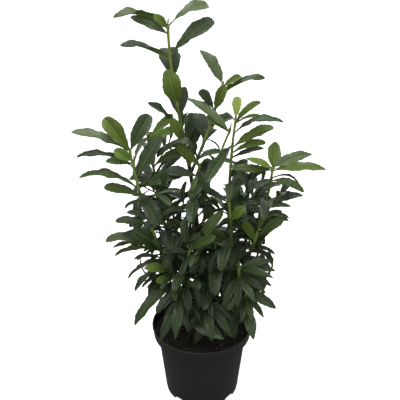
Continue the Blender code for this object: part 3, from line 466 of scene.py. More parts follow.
        "low_left", low=(-30, -26, 190), high=(-34, -44, 215), tip=(-38, -50, 254), parent="left", fork=0.08,
        leaves=11, turn=200, length=66, tip_length=52, slender=0.95, opening=(70, 125), sag=0.45, tips=DEEP,
        shown=(
            Pose(10, 244, 10, 90, 0.1, 0.5, 0.8), Pose(6, 262, 25, 84, 0.1, 0.5, 0.8),
            Pose(15, 280, 30, 62, 0.08, 0.5, 0.8), Pose(64, 328, 34, 98, 0.08, 0.75, 1.15, MID, hook=0.0),
        ),
    ),
    low_shoot(
        "low_corner", low=(-50, 6, 210), high=(-66, 12, 240), tip=(-78, 20, 300), parent="left", fork=0.15,
        turn=120, sag=0.4,
    ),
    low_shoot(
        "low_front", low=(10, -22, 180), high=(10, -48, 200), tip=(10, -56, 245), parent="leader", fork=0.04,
        turn=250, opening=(70, 125), sag=0.45, tips=DEEP,
        shown=(
            Pose(3, 285, 35, 38, 0.06, 0.5), Pose(8, 325, 20, 56, 0.08, 0.4, 0.9),
            Pose(12, 306, 15, 76, 0.1, 0.4, 0.8), Pose(19, 290, 30, 70, 0.1, 0.5, 0.9),
            Pose(26, 230, -5, 62, 0.08, 0.4, 0.9),
        ),
    ),
    low_shoot(
        "low_right", low=(66, -30, 250), high=(66, -46, 270), tip=(65, -52, 309), parent="right", fork=0.3,
        leaves=14, turn=310, opening=(65, 120), sag=0.4,
        shown=(
            Pose(2, 14, 5, 60, 0.08, 0.5, 0.85), Pose(3, 357, 0, 66, 0.08, 0.4, 0.85),
            Pose(7, 350, 25, 66, 0.08, 0.4, 0.85), Pose(12, 338, 5, 64, 0.08, 0.4, 0.85),
            Pose(14, 324, 20, 62, 0.08, 0.45, 0.85), Pose(20, 301, 30, 60, 0.06, 0.5, 0.85),
            Pose(22, 266, 25, 60, 0.08, 0.4, 0.85), Pose(24, 240, 20, 64, 0.08, 0.4, 0.85),
            Pose(8, 174, 15, 52, 0.08, 0.4, 0.85),
        ),
    ),
    low_shoot(
        "low_side", low=(66, -26, 200), high=(78, -46, 220), tip=(80, -56, 263), parent="right", fork=0.14,
        turn=15,
        shown=(
            Pose(1, 329, 8, 62, 0.08, 0.65, 1.1, MID), Pose(14, 309, 8, 52, 0.06, 0.4, 0.85),
            Pose(40, 286, 30, 74, 0.08, 0.65, 1.15, MID), Pose(17, 284, 30, 52, 0.06, 0.5, 0.9),
            Pose(24, 258, 38, 50, 0.08, 0.4, 0.85),
        ),
    ),
    low_shoot(
        "low_edge", low=(84, 10, 240), high=(100, 20, 256), tip=(106, 26, 306), parent="right", fork=0.24,
        turn=200,
    ),
    low_shoot(
        "low_back", low=(-50, 60, 170), high=(-60, 80, 200), tip=(-66, 92, 260),
        parent="back_left", fork=0.1, turn=100, length=70, tip_length=54, slender=0.95,
    ),
    low_shoot(
        "low_back_side", low=(40, 76, 180), high=(44, 96, 200), tip=(44, 104, 262),
        parent="back_right", fork=0.1, turn=60, length=70, tip_length=54, slender=0.95,
    ),
)


# Shader nodes


class Value:
    """A shader value. Python's operators on it add Math nodes to its tree."""

    def __init__(self, tree: bpy.types.NodeTree, socket: bpy.types.NodeSocket) -> None:
        """Keeps the tree and the socket that the value comes from."""
        self.tree = tree
        self.socket = socket

    def maths(self, operation: str, first: "Value | float", second: "Value | float" = 0.0) -> "Value":
        """Adds one Math node.

        Args:
            operation: The node's own name for what it works out.
            first: The first value or number.
            second: The second value or number.

        Returns:
            The node's result.
        """
        node = self.tree.nodes.new("ShaderNodeMath")
        node.operation = operation
        for socket, given in zip(node.inputs, (first, second)):
            if isinstance(given, Value):
                self.tree.links.new(given.socket, socket)
            else:
                socket.default_value = given
        return Value(self.tree, node.outputs[0])

    def __add__(self, other: "Value | float") -> "Value":
        """The sum."""
        return self.maths("ADD", self, other)

    def __radd__(self, other: float) -> "Value":
        """The sum, with the number first."""
        return self.maths("ADD", other, self)

    def __sub__(self, other: "Value | float") -> "Value":
        """The difference."""
        return self.maths("SUBTRACT", self, other)

    def __rsub__(self, other: float) -> "Value":
        """The difference, with the number first."""
        return self.maths("SUBTRACT", other, self)

    def __mul__(self, other: "Value | float") -> "Value":
        """The product."""
        return self.maths("MULTIPLY", self, other)

    def __rmul__(self, other: float) -> "Value":
        """The product, with the number first."""
        return self.maths("MULTIPLY", other, self)


class Nodes:
    """A node tree, and the one way to add nodes to it."""

    def __init__(self, tree: bpy.types.NodeTree) -> None:
        """Keeps the tree."""
        self.tree = tree

    def feed(self, socket: bpy.types.NodeSocket, given: Any) -> None:
        """Sets a socket to a number or colour, or links a value or another socket to it.

        Args:
            socket: The socket to feed.
            given: What it gets.
        """
        if isinstance(given, Value):
            self.tree.links.new(given.socket, socket)
        elif isinstance(given, bpy.types.NodeSocket):
            self.tree.links.new(given, socket)
        elif isinstance(given, tuple) and len(given) == 3 and socket.type == "RGBA":
            socket.default_value = (*given, 1)
        else:
            socket.default_value = given

    def node(
        self, kind: str, settings: dict[str, Any] | None = None, sockets: dict[Any, Any] | None = None
    ) -> bpy.types.Node:
        """Adds any node.

        Args:
            kind: The node's type.
            settings: Its settings, set first, with a ramp's stops under "stops".
            sockets: What each of its sockets gets, by name or number.

        Returns:
            The node.
        """
        made = self.tree.nodes.new(kind)
        for name, setting in (settings or {}).items():
            if name == "stops":
                ramp = made.color_ramp
                for element, (place, colour) in zip((ramp.elements[0], ramp.elements[1]), setting):
                    element.position = place
                    element.color = (*colour, 1)
            else:
                setattr(made, name, setting)
        for name, given in (sockets or {}).items():
            self.feed(made.inputs[name], given)
        return made


class Shading(Nodes):
    """One material with a Principled shader, and what its finishes are mixed from."""

    def __init__(self, name: str) -> None:
        """Makes the material under its name."""
        self.material = bpy.data.materials.new(name)
        self.material.use_nodes = True
        super().__init__(self.material.node_tree)
        self.shader = self.tree.nodes["Principled BSDF"]

    def noise(self, scale: float, detail: float = 3.0, stretch: Place = (1, 1, 1)) -> Value:
        """A noise over the row frame, from 0 to 1.

        Args:
            scale: How many waves there are in a metre.
            detail: How many finer waves are added.
            stretch: How much the waves are squeezed along each axis.

        Returns:
            The noise as a value.
        """
        place = self.node("ShaderNodeTexCoord").outputs["Object"]
        spread = self.node("ShaderNodeMapping", {}, {"Vector": place, "Scale": stretch}).outputs["Vector"]
        made = self.node("ShaderNodeTexNoise", {}, {"Vector": spread, "Scale": scale, "Detail": detail})
        return Value(self.tree, made.outputs["Fac"])

    def stepped(self, given: Value, low: float, high: float) -> Value:
        """A value brought to 0 at the low number and to 1 at the high one."""
        stops = ((low, (0, 0, 0)), (high, (1, 1, 1)))
        made = self.node("ShaderNodeValToRGB", {"stops": stops}, {"Fac": given})
        return Value(self.tree, made.outputs["Color"])

    def height(self) -> Value:
        """How high a point of the surface is, in metres."""
        place = self.node("ShaderNodeTexCoord").outputs["Object"]
        return Value(self.tree, self.node("ShaderNodeSeparateXYZ", {}, {"Vector": place}).outputs["Z"])

    def mixed(self, factor: Value, first: Any, second: Any) -> bpy.types.NodeSocket:
        """A mix of two colours or sockets, by how much of the second there is."""
        return self.node("ShaderNodeMix", {"data_type": "RGBA"}, {0: factor, 6: first, 7: second}).outputs[2]

    def relief(self, height: Value, depth: float, strength: float = 1.0) -> None:
        """Gives the shader a relief from 0 to 1 that is so many metres deep, and felt by its strength."""
        bump = self.node("ShaderNodeBump", {}, {"Strength": strength, "Distance": depth, "Height": height})
        self.feed(self.shader.inputs["Normal"], bump.outputs["Normal"])

    def wear(self, **finishes: Any) -> bpy.types.Material:
        """Feeds the shader's sockets by their names with _ for a space.

        Args:
            finishes: What each socket gets.

        Returns:
            The finished material.
        """
        for name, given in finishes.items():
            self.feed(self.shader.inputs[name.replace("_", " ").title()], given)
        return self.material


# Finishes


@dataclass(frozen=True)
class SkinFinish:
    """The skin of a leaf or a green twig: one plain colour under wax, with a fine grain."""

    name: str
    colour: Colour
    roughness: float
    wax: float = 0.0
    grain: float = 0.04 * MM

    def material(self) -> bpy.types.Material:
        """The finished material."""
        shading = Shading(self.name)
        shading.relief(shading.noise(900, 2) * 0.6 + shading.noise(260, 1) * 0.4, self.grain)
        return shading.wear(
            base_color=self.colour, roughness=self.roughness, coat_weight=self.wax, coat_roughness=0.3
        )


@dataclass(frozen=True)
class BarkFinish:
    """Young bark: olive where it is youngest, brown and fissured lower down, with pale pores."""

    name: str = "bark"
    brown: Colour = (0.055, 0.038, 0.024)
    olive: Colour = (0.060, 0.072, 0.028)
    pore: Colour = (0.130, 0.105, 0.070)
    crack: Colour = (0.026, 0.019, 0.013)
    young_from: float = 250 * MM
    young_at: float = 460 * MM

    def material(self) -> bpy.types.Material:
        """The finished material."""
        shading = Shading(self.name)
        fissure = shading.noise(900, 4, (1, 1, 0.16))
        patch = shading.noise(70, 2, (1, 1, 0.5))
        rise = (shading.height() - self.young_from) * (1 / (self.young_at - self.young_from))
        youth = shading.stepped(rise + patch * 0.6 - 0.3, 0.1, 0.9)
        pores = shading.stepped(shading.noise(420, 1, (1, 1, 0.5)), 0.66, 0.70)
        plain = shading.mixed(youth, self.brown, self.olive)
        shade = shading.mixed(shading.stepped(fissure, 0.3, 0.62), self.crack, plain)
        shading.relief(fissure * 0.8 + pores * 0.5, 0.5 * MM, 0.8)
        specked = shading.mixed(pores * 0.6, shade, self.pore)
        return shading.wear(base_color=specked, roughness=0.86 - fissure * 0.2)


@dataclass(frozen=True)
class PotFinish:
    """Satin black polypropylene, lighter along the top of its lip, with specks of dust, fine scratches and a
    dull bloom near the foot.
    """

    name: str = "black_pot_plastic"
    black: Colour = (0.0062, 0.0061, 0.0064)
    bloom: Colour = (0.020, 0.0187, 0.0162)
    dust: Colour = (0.070, 0.060, 0.048)

    def material(self) -> bpy.types.Material:
        """The finished material."""
        shading = Shading(self.name)
        cloud = shading.noise(22, 4)
        streak = shading.noise(150, 3, (1, 1, 0.08))
        scratch = shading.stepped(shading.noise(420, 2, (0.25, 0.25, 1.6)), 0.62, 0.68)
        foot = shading.stepped(shading.height() * (1 / POT_HEIGHT) + cloud * 0.25, 0.5, 0.12)
        lip = shading.stepped(shading.height() * (1 / POT_HEIGHT) + cloud * 0.04, 0.985, 1.03)
        bloom = shading.stepped(cloud * 0.6 + streak * 0.4, 0.40, 0.72) * 0.5 + foot * 0.25
        speck = shading.stepped(shading.noise(700, 1), 0.72, 0.78)
        plain = shading.mixed(bloom, self.black, self.bloom)
        worn = shading.mixed(scratch * 0.25, plain, self.bloom)
        # The top of the lip is mixed a little towards the dust colour, so it is lighter than the rest of the
        # pot; the specks are dust.
        dusty = shading.mixed(lip * 0.2 + speck * 0.35, worn, self.dust)
        shading.relief(shading.noise(1600, 2) * 0.5 + scratch * 0.2 + cloud * 0.3, 0.09 * MM, 0.7)
        return shading.wear(base_color=dusty, roughness=0.44 + bloom * 0.22 + scratch * 0.1 + lip * 0.1)


@dataclass(frozen=True)
class CompostFinish:
    """Dark peaty compost, nearly black where it is damp."""

    name: str = "damp_compost"
    damp: Colour = (0.007, 0.0062, 0.0060)
    dry: Colour = (0.031, 0.0245, 0.019)

    def material(self) -> bpy.types.Material:
        """The finished material."""
        shading = Shading(self.name)
        lump = shading.noise(260, 5)
        grain = shading.noise(1300, 3)
        shade = shading.mixed(shading.stepped(lump * 0.6 + grain * 0.4, 0.38, 0.68), self.damp, self.dry)
        shading.relief(lump * 0.6 + grain * 0.4, 1.2 * MM, 0.9)
        return shading.wear(base_color=shade, roughness=0.95 - lump * 0.12)


@dataclass(frozen=True)
class CrumbFinish:
    """The plain rough colour of loose bits: crumbs, chips, fibres or pale grit."""

    name: str
    colour: Colour

    def material(self) -> bpy.types.Material:
        """The finished material."""
        shading = Shading(self.name)
        shading.relief(shading.noise(1500, 2), 0.3 * MM, 0.8)
        return shading.wear(base_color=self.colour, roughness=0.92)


@dataclass(frozen=True)
class FloorFinish:
    """The white of the floor, which glows a little, so that shadows on it stay faint."""

    name: str = "pale_floor"
    white: Colour = (0.9, 0.9, 0.9)
    glow: float = 0.8

    def material(self) -> bpy.types.Material:
        """The finished material."""
        return Shading(self.name).wear(
            base_color=self.white, roughness=1.0, emission_color=(1.0, 1.0, 1.0), emission_strength=self.glow
        )


class Palette:
    """The materials by name, each made once from its finish."""

    def __init__(self) -> None:
        """Starts with every finish of the pot, the compost, the stems and each tint of leaf."""
        finishes: list[Any] = [
            SkinFinish("twig_olive", (0.052, 0.066, 0.022), 0.55),
            SkinFinish("twig_green", (0.105, 0.155, 0.032), 0.52, 0.1),
            SkinFinish("twig_bright", (0.210, 0.290, 0.055), 0.50, 0.1),
            SkinFinish("petiole_green", (0.120, 0.175, 0.040), 0.50, 0.1),
            SkinFinish("petiole_bright", (0.240, 0.310, 0.075), 0.48, 0.1),
            SkinFinish("bud_scale", (0.110, 0.120, 0.035), 0.55),
            BarkFinish(),
            PotFinish(),
            CompostFinish(),
            CrumbFinish("compost_crumb", (0.016, 0.012, 0.009)),
            CrumbFinish("bark_chip", (0.045, 0.028, 0.017)),
            CrumbFinish("root_fibre", (0.085, 0.060, 0.036)),
            CrumbFinish("pale_grit", (0.42, 0.40, 0.36)),
        ]
        for tint in Tint:
            word = tint.name.lower()
            look = tint.value
            rib_under = tuple((a + b) / 2 for a, b in zip(look.rib, look.under))
            finishes += [
                SkinFinish(f"blade_{word}", look.blade, look.roughness, 0.15),
                SkinFinish(f"vein_{word}", look.vein, look.roughness + 0.02, 0.15),
                SkinFinish(f"rib_{word}", look.rib, 0.45, 0.1),
                SkinFinish(f"under_{word}", look.under, 0.62),
                SkinFinish(f"under_rib_{word}", rib_under, 0.6),
            ]
        self.finishes = {finish.name: finish for finish in finishes}
        self.made: dict[str, bpy.types.Material] = {}

    def material(self, name: str) -> bpy.types.Material:
        """The material of a finish, made when it is first asked for."""
        if name not in self.made:
            self.made[name] = self.finishes[name].material()
        return self.made[name]


# Meshes


@dataclass
class MeshPile:
    """Points and faces that gather into one mesh, with a named finish for each block of faces."""

    points: list[Array] = field(default_factory=list)
    faces: list[list[int]] = field(default_factory=list)
    finishes: list[str] = field(default_factory=list)
    size: int = 0

    def add(self, points: Array, blocks: Iterable[tuple[Array, str]]) -> None:
        """Adds a shape.

        Args:
            points: Its points, one a row.
            blocks: Faces of equal corner count, one a row, each block with its finish's name.
        """
        for faces, finish in blocks:
            self.faces += (faces + self.size).tolist()
            self.finishes += [finish] * len(faces)
        self.points.append(points)
        self.size += len(points)

    def add_skin(self, points: Array, quads: Array, caps: Array, finish: str) -> None:
        """Adds a closed skin of four-sided faces with its three-sided end faces, all of one finish."""
        self.add(points, [(quads, finish), (caps, finish)])

    def piece(self, name: str, palette: Palette, sharp: float = 50) -> bpy.types.Object:
        """Makes the object.

        Args:
            name: The piece's name.
            palette: Where its materials come from.
            sharp: The angle in degrees past which an edge is left sharp.

        Returns:
            The object, smooth but for its sharp edges.
        """
        mesh = bpy.data.meshes.new(name)
        mesh.from_pydata(np.concatenate(self.points), [], self.faces)
        used = sorted(set(self.finishes))
        for finish in used:
            mesh.materials.append(palette.material(finish))
        mesh.polygons.foreach_set("material_index", [used.index(finish) for finish in self.finishes])
        mesh.shade_smooth()
        mesh.set_sharp_from_angle(angle=math.radians(sharp))
        made = bpy.data.objects.new(name, mesh)
        bpy.context.scene.collection.objects.link(made)
        return made


def settle(piece: bpy.types.Object, slot: str, *nodes: str) -> None:
    """Hands a piece over to the frame and reports it.

    Args:
        piece: The piece, in place.
        slot: The word that is reported for it when it stands for no solid.
        nodes: The solids that it stands for.
    """
    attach(piece, BODY)
    if nodes:
        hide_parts(*nodes)
    logging.info("%s: %d faces for %s", piece.name, len(piece.data.polygons), ", ".join(nodes) or slot)


def ring_faces(rings: int, sides: int) -> tuple[Array, Array]:
    """The faces of a skin over rings of equal count, with a point at each end.

    Args:
        rings: How many rings there are.
        sides: How many points each has. The two end points follow the last ring.

    Returns:
        The four-sided faces and the three-sided ones.
    """
    grid = np.arange(rings * sides).reshape(rings, sides)
    on = np.roll(grid, -1, axis=1)
    quads = np.stack((grid[:-1], on[:-1], on[1:], grid[1:]), axis=-1).reshape(-1, 4)
    start, end = rings * sides, rings * sides + 1
    first = np.stack((on[0], grid[0], np.full(sides, start)), axis=-1)
    last = np.stack((grid[-1], on[-1], np.full(sides, end)), axis=-1)
    return quads, np.concatenate((first, last))


# Curves and frames


def bent_path(root: Vector, low: Vector, high: Vector, tip: Vector) -> Path:
    """Evenly spaced points on a curve that bends from its root over two handles to its tip.

    Args:
        root: Where the curve starts.
        low: The handle that it leaves towards.
        high: The handle that it comes from.
        tip: Where it ends.

    Returns:
        The points.
    """
    fine = []
    for i in range(PATH_STEPS * 8 + 1):
        t = i / (PATH_STEPS * 8)
        rest = 1 - t
        fine.append(root * rest**3 + low * (3 * t * rest**2) + high * (3 * t**2 * rest) + tip * t**3)
    lengths = [0.0]
    for a, b in zip(fine, fine[1:]):
        lengths.append(lengths[-1] + (b - a).length)
    even, j = [], 0
    for i in range(PATH_STEPS + 1):
        wanted = lengths[-1] * i / PATH_STEPS
        while j < len(fine) - 2 and lengths[j + 1] < wanted:
            j += 1
        even.append(fine[j].lerp(fine[j + 1], (wanted - lengths[j]) / (lengths[j + 1] - lengths[j])))
    return even


def point_on(path: Path, share: float) -> Vector:
    """The point at a share of a path's length."""
    i = min(int(share * PATH_STEPS), PATH_STEPS - 1)
    return path[i].lerp(path[i + 1], share * PATH_STEPS - i)


def direction_on(path: Path, share: float) -> Vector:
    """The direction of travel at a share of a path's length."""
    reach = 0.6 / PATH_STEPS
    return (point_on(path, min(1, share + reach)) - point_on(path, max(0, share - reach))).normalized()


def length_of(path: Path) -> float:
    """The whole length of a path."""
    return sum((b - a).length for a, b in zip(path, path[1:]))


def across(direction: Vector, reference: Vector = Vector((1, 0, 0))) -> tuple[Vector, Vector]:
    """Two directions square to a stem: one as near the reference as can be, and one a quarter turn on."""
    first = (reference - direction * reference.dot(direction)).normalized()
    return first, direction.cross(first)


def outward_from(direction: Vector, turn: float, reference: Vector = Vector((1, 0, 0))) -> Vector:
    """The direction square to a stem that stands at a turn round it, in radians, from the reference."""
    side, back = across(direction, reference)
    return side * math.cos(turn) + back * math.sin(turn)


def plain_tube(path: Path, start: float, end: float, radius_at: Girth) -> Solid:
    """The three-sided twig that the clearance tests use.

    Args:
        path: The twig's path.
        start: The share of the path at which it starts.
        end: The share at which it ends.
        radius_at: Its radius at a share.

    Returns:
        Its points and faces.
    """
    spans = max(2, round(length_of(path) * (end - start) / TWIG_STEP))
    points = []
    for i in range(spans + 1):
        t = start + (end - start) * i / spans
        centre, radius, along = point_on(path, t), radius_at(t), direction_on(path, t)
        turns = [2 * math.pi * j / TWIG_SIDES for j in range(TWIG_SIDES)]
        points += [centre + outward_from(along, turn) * radius for turn in turns]
    faces: list[tuple[int, ...]] = []
    for i in range(spans):
        for j in range(TWIG_SIDES):
            a, b = i * TWIG_SIDES + j, i * TWIG_SIDES + (j + 1) % TWIG_SIDES
            faces.append((a, b, b + TWIG_SIDES, a + TWIG_SIDES))
    last = spans * TWIG_SIDES
    faces += [tuple(reversed(range(TWIG_SIDES))), tuple(range(last, last + TWIG_SIDES))]
    return points, faces


def tree_of(target: bpy.types.Object) -> BVHTree:
    """A search tree over an object's mesh."""
    mesh = target.data
    return BVHTree.FromPolygons([v.co for v in mesh.vertices], [tuple(p.vertices) for p in mesh.polygons])


# Leaves


def half_width(share: float, length: float) -> float:
    """Half the width of a leaf's blade at a share of the way from its petiole to its tip."""
    widest = LEAF_WIDTH_SHARE * length / 2
    return widest * math.sin(math.pi * share**1.15) ** 0.8 if 0 < share < 1 else 0.0


@dataclass
class Leaf:
    """One leaf: where its petiole is rooted, how its chord points and how its blade is shaped.

    The fold, the roll and the twist are in degrees, and the arch, the width and the hook are shares.
    """

    root: Vector
    chord: Vector
    up: Vector
    length: float
    arch: float
    fold: float
    roll: float
    twist: float
    wide: float
    hook: float = 0.05
    tint: Tint = MID
    blunt: float = 0.75
    seed: float = 0.0

    def frame(self, share: float) -> tuple[Vector, Vector, Vector]:
        """The centre line's point, the side and the upward direction at a share of the leaf's length."""
        bend = max(0.0, (share - HOOK_FROM) / (1 - HOOK_FROM))
        rise = self.arch * 4 * share * (1 - share) - self.hook * bend**2
        slope = self.arch * 4 * (1 - 2 * share) - self.hook * 2 * bend / (1 - HOOK_FROM)
        centre = self.root + (self.chord * share + self.up * rise) * self.length
        along = (self.chord + self.up * slope).normalized()
        turn = Quaternion(along, math.radians(self.roll + self.twist * (share - 0.5)))
        side = turn @ self.up.cross(self.chord)
        return centre, side, along.cross(side)

    def shape(self, grow: float = 1.0) -> Solid:
        """The leaf as the thin folded solid that the clearance tests use.

        Args:
            grow: How much its girth is grown.

        Returns:
            Its points and faces.
        """
        points: list[Vector] = []
        thick = max(LEAF_THICKNESS_SHARE * self.length, LEAF_THICKNESS_LEAST) * grow
        fold = math.radians(self.fold)
        for share in (0.0, *BLADE_STATIONS):
            centre, side, up = self.frame(share)
            blade = (share - PETIOLE_SHARE) / (1 - PETIOLE_SHARE)
            half = max(half_width(blade, self.length * self.wide), PETIOLE_RADIUS)
            half *= 1 + (grow - 1) * SIDEWAYS_GROWTH
            lift = up * (half * math.sin(fold))
            reach = side * (half * math.cos(fold))
            skin = up * (thick / 2)
            points += [centre - reach + lift, centre - skin, centre + reach + lift, centre + skin]
        faces: list[tuple[int, ...]] = [(3, 2, 1, 0)]
        for a in range(0, len(points) - 4, 4):
            for edge in (a, a + 2):
                for middle in (a + 1, a + 3):
                    faces += [(edge, middle, middle + 4), (edge, middle + 4, edge + 4)]
        tip = len(points)
        faces += [(tip - 4 + j, tip - 4 + (j + 1) % 4, tip) for j in range(4)]
        return [*points, self.frame(1.0)[0]], faces

    def frames(self, shares: Array) -> tuple[Array, Array, Array]:
        """The frames at many shares at once, for the fine blade.

        Args:
            shares: Shares of the leaf's length, in any array.

        Returns:
            The centres, sides and upward directions, with three numbers each along a last axis.
        """
        s = shares[..., None]
        root, chord, up = (np.array(v) for v in (self.root, self.chord, self.up))
        bend = np.clip((s - HOOK_FROM) / (1 - HOOK_FROM), 0, None)
        centre = root + (chord * s + up * (self.arch * 4 * s * (1 - s) - self.hook * bend**2)) * self.length
        along = chord + up * (self.arch * 4 * (1 - 2 * s) - self.hook * 2 * bend / (1 - HOOK_FROM))
        along /= np.linalg.norm(along, axis=-1, keepdims=True)
        turn = np.radians(self.roll + self.twist * (s - 0.5))
        flat = np.cross(up, chord)
        side = flat * np.cos(turn) + np.cross(along, flat) * np.sin(turn)
        return centre, side, np.cross(along, side)


@dataclass(frozen=True)
class BladeForm:
    """How a fine blade is cut up and shaped: rows that follow its veins, and columns from rib to margin."""

    blade_from: float = 0.06
    vein_pairs: int = 8
    vein_strip: float = 0.014
    columns: tuple[float, ...] = (0.0, 0.065, 0.30, 0.62, 0.90, 1.0)
    vein_lead: float = 0.12
    thickness: float = 0.5 * MM
    keel: float = 1.1 * MM
    quilting: float = 0.6 * MM
    waviness: float = 2.7 * MM
    waviness_at: float = 90 * MM
    bulge: float = 0.20
    tooth: float = 0.7 * MM
    unevenness: float = 0.07
    petiole_sides: int = 8
    petiole_rings: int = 6
    full_petiole_from: float = 70 * MM

    def rows(self) -> Array:
        """The stations along the midrib: two for each vein and one between it and the next."""
        starts = np.arange(self.vein_pairs) / self.vein_pairs
        between = starts + (self.vein_strip + 1 / self.vein_pairs) / 2
        return np.append(np.stack((starts, starts + self.vein_strip, between), axis=-1).ravel(), 0.985)

    def outline(self, along: Array, leaf: Leaf) -> Array:
        """Half the blade's width, between the pointed outline of the solids and a blunter one.

        Args:
            along: Shares of the blade's length.
            leaf: The leaf, for its size and bluntness.

        Returns:
            The half widths in metres.
        """
        inside = np.clip(along, 1e-4, 1 - 1e-4)
        pointed = (inside / 0.45) ** 0.72 * ((1 - inside) / 0.55) ** 0.88
        blunt = (inside / 0.7) ** 1.1 * ((1 - inside) / 0.3) ** 0.45
        width = pointed + (blunt - pointed) * leaf.blunt
        return LEAF_WIDTH_SHARE * leaf.length * leaf.wide / 2 * width

    def blade(self, leaf: Leaf) -> tuple[Array, list[tuple[Array, str]]]:
        """The fine blade of a leaf.

        Args:
            leaf: The leaf.

        Returns:
            Its points, and its faces by finish.
        """
        half_columns = np.array(self.columns)
        q = np.concatenate((-half_columns[:0:-1], half_columns))
        m, q = np.meshgrid(self.rows(), q, indexing="ij")
        edge = np.abs(q)
        along = m + self.vein_lead * edge**1.2 * np.sin(np.pi * m) ** 0.9
        share = self.blade_from + (1 - self.blade_from) * along
        centre, side, up = leaf.frames(share)
        half = np.maximum(self.outline(along, leaf), PETIOLE_RADIUS * (0.5 + 0.7 * (1 - along)))
        half += self.tooth * (edge == 1) * (np.arange(m.shape[0]) % 3 == 1)[:, None]
        uneven = self.unevenness * np.sin(along * 11 + leaf.seed * 9 + np.sign(q) * 1.3)
        half *= 1 + uneven * np.sin(np.pi * m)
        fold = np.radians(leaf.fold) * (1.2 - 0.45 * along)
        panel = (np.arange(m.shape[0]) % 3 == 2)[:, None] * np.ones_like(m)
        lift = half * (np.sin(fold) * edge + self.bulge * edge * (1 - edge))
        lift += self.quilting * panel * (4 * edge * (1 - edge)) ** 0.5 * np.sin(np.pi * m) ** 0.5
        wave = np.sin(along * 15 + leaf.seed * 6.28 + q * 1.7) + 0.6 * np.sin(along * 27 + leaf.seed * 17)
        swing = self.waviness * (leaf.length / self.waviness_at) * wave * edge**2.5
        lift += swing * np.sin(np.pi * np.clip(along, 0, 1)) * 0.6
        top = centre + side * (q * half * np.cos(fold))[..., None] + up * lift[..., None]
        thin = self.thickness * (1 - edge**3) + self.keel * (edge < 0.02) * (1 - 0.8 * along)
        under = top - up * thin[..., None]
        tip = leaf.frames(np.array([1.0]))[0]
        points = np.concatenate((top.reshape(-1, 3), under[:, 1:-1].reshape(-1, 3), tip))
        return points, self.blade_faces(m.shape, leaf.tint.name.lower())

    def blade_faces(self, shape: tuple[int, int], word: str) -> list[tuple[Array, str]]:
        """The faces of the blade by finish.

        Args:
            shape: How many rows and columns of points the upper side has.
            word: The tint's word in the finishes' names.

        Returns:
            Blocks of faces with their finishes' names.
        """
        rows, columns = shape
        top = np.arange(rows * columns).reshape(rows, columns)
        low = top.copy()
        low[:, 1:-1] = rows * columns + np.arange(rows * (columns - 2)).reshape(rows, columns - 2)
        tip = rows * columns + rows * (columns - 2)
        upper = np.stack((top[:-1, :-1], top[1:, :-1], top[1:, 1:], top[:-1, 1:]), axis=-1)
        lower = np.stack((low[:-1, :-1], low[:-1, 1:], low[1:, 1:], low[1:, :-1]), axis=-1)
        row, column = np.meshgrid(np.arange(rows - 1), np.arange(columns - 1), indexing="ij")
        middle = (columns - 1) // 2
        on_rib = (column == middle - 1) | (column == middle)
        on_vein = (row % 3 == 0) & (row > 0) & ~on_rib & (column > 0) & (column < columns - 2)
        plain = ~on_rib & ~on_vein
        end = np.full(columns - 1, tip)
        tip_upper = np.stack((top[-1, :-1], end, top[-1, 1:]), axis=-1)
        tip_lower = np.stack((low[-1, :-1], low[-1, 1:], end), axis=-1)
        base = np.stack((top[0, 1:-2], top[0, 2:-1], low[0, 2:-1], low[0, 1:-2]), axis=-1)
        base_ends = np.array(((top[0, 0], top[0, 1], low[0, 1]), (top[0, -2], top[0, -1], low[0, -2])))
        return [
            (upper[plain], f"blade_{word}"),
            (upper[on_vein], f"vein_{word}"),
            (upper[on_rib], f"rib_{word}"),
            (lower[~on_rib], f"under_{word}"),
            (lower[on_rib], f"under_rib_{word}"),
            (tip_upper, f"blade_{word}"),
            (tip_lower, f"under_{word}"),
            (base, f"under_{word}"),
            (base_ends, f"under_{word}"),
        ]

    def petiole(self, leaf: Leaf) -> tuple[Array, list[tuple[Array, str]]]:
        """The stalk, swollen where it leaves the stem, that runs a little way under the blade.

        Args:
            leaf: The leaf.

        Returns:
            Its points, and its faces by finish.
        """
        shares = np.linspace(0.0, PETIOLE_SHARE * 1.7, self.petiole_rings)
        centre, side, up = leaf.frames(shares)
        t = shares / shares[-1]
        girth = min(1.0, leaf.length / self.full_petiole_from)
        radius = (PETIOLE_RADIUS * (1.15 - 0.6 * t) + 0.7 * MM * np.exp(-t * 7)) * girth
        sunk = up * (0.9 * MM * t * girth)[:, None]
        turns = 2 * np.pi * np.arange(self.petiole_sides) / self.petiole_sides
        spread = side[:, None] * np.cos(turns)[None, :, None] + up[:, None] * np.sin(turns)[None, :, None]
        rings = (centre - sunk)[:, None] + spread * radius[:, None, None]
        ends = np.stack((centre[0], (centre - sunk)[-1]))
        quads, caps = ring_faces(len(shares), self.petiole_sides)
        finish = "petiole_bright" if leaf.tint in (FRESH, YOUNG) else "petiole_green"
        return np.concatenate((rings.reshape(-1, 3), ends)), [(quads, finish), (caps, finish)]


FULL_BLADE = BladeForm()
SMALL_BLADE = BladeForm(vein_pairs=6, petiole_rings=4, petiole_sides=6, keel=0.7 * MM, waviness=0.7 * MM)


# Growth


def path_of(shoot: Shoot, paths: dict[str, Path]) -> Path:
    """A shoot's path in metres. A side shoot starts on its parent's path, and a main stem at the compost."""
    if shoot.parent:
        root = point_on(paths[shoot.parent], shoot.fork)
    else:
        root = Vector((shoot.root[0] * MM, shoot.root[1] * MM, STEM_FOOT))
    return bent_path(root, Vector(shoot.low) * MM, Vector(shoot.high) * MM, Vector(shoot.tip) * MM)


def stem_radius(shoot: Shoot, path: Path) -> Girth:
    """The rule for a shoot's radius at a share of its length, with a flare at a main stem's foot."""
    length = length_of(path)

    def radius_at(share: float) -> float:
        """The radius at a share of the path."""
        plain = shoot.radius * MM * (1 - share) + TWIG_TIP_RADIUS * share
        return plain * (1 + (0 if shoot.parent else FLARE_SHARE * math.exp(-share * length / FLARE_REACH)))

    return radius_at


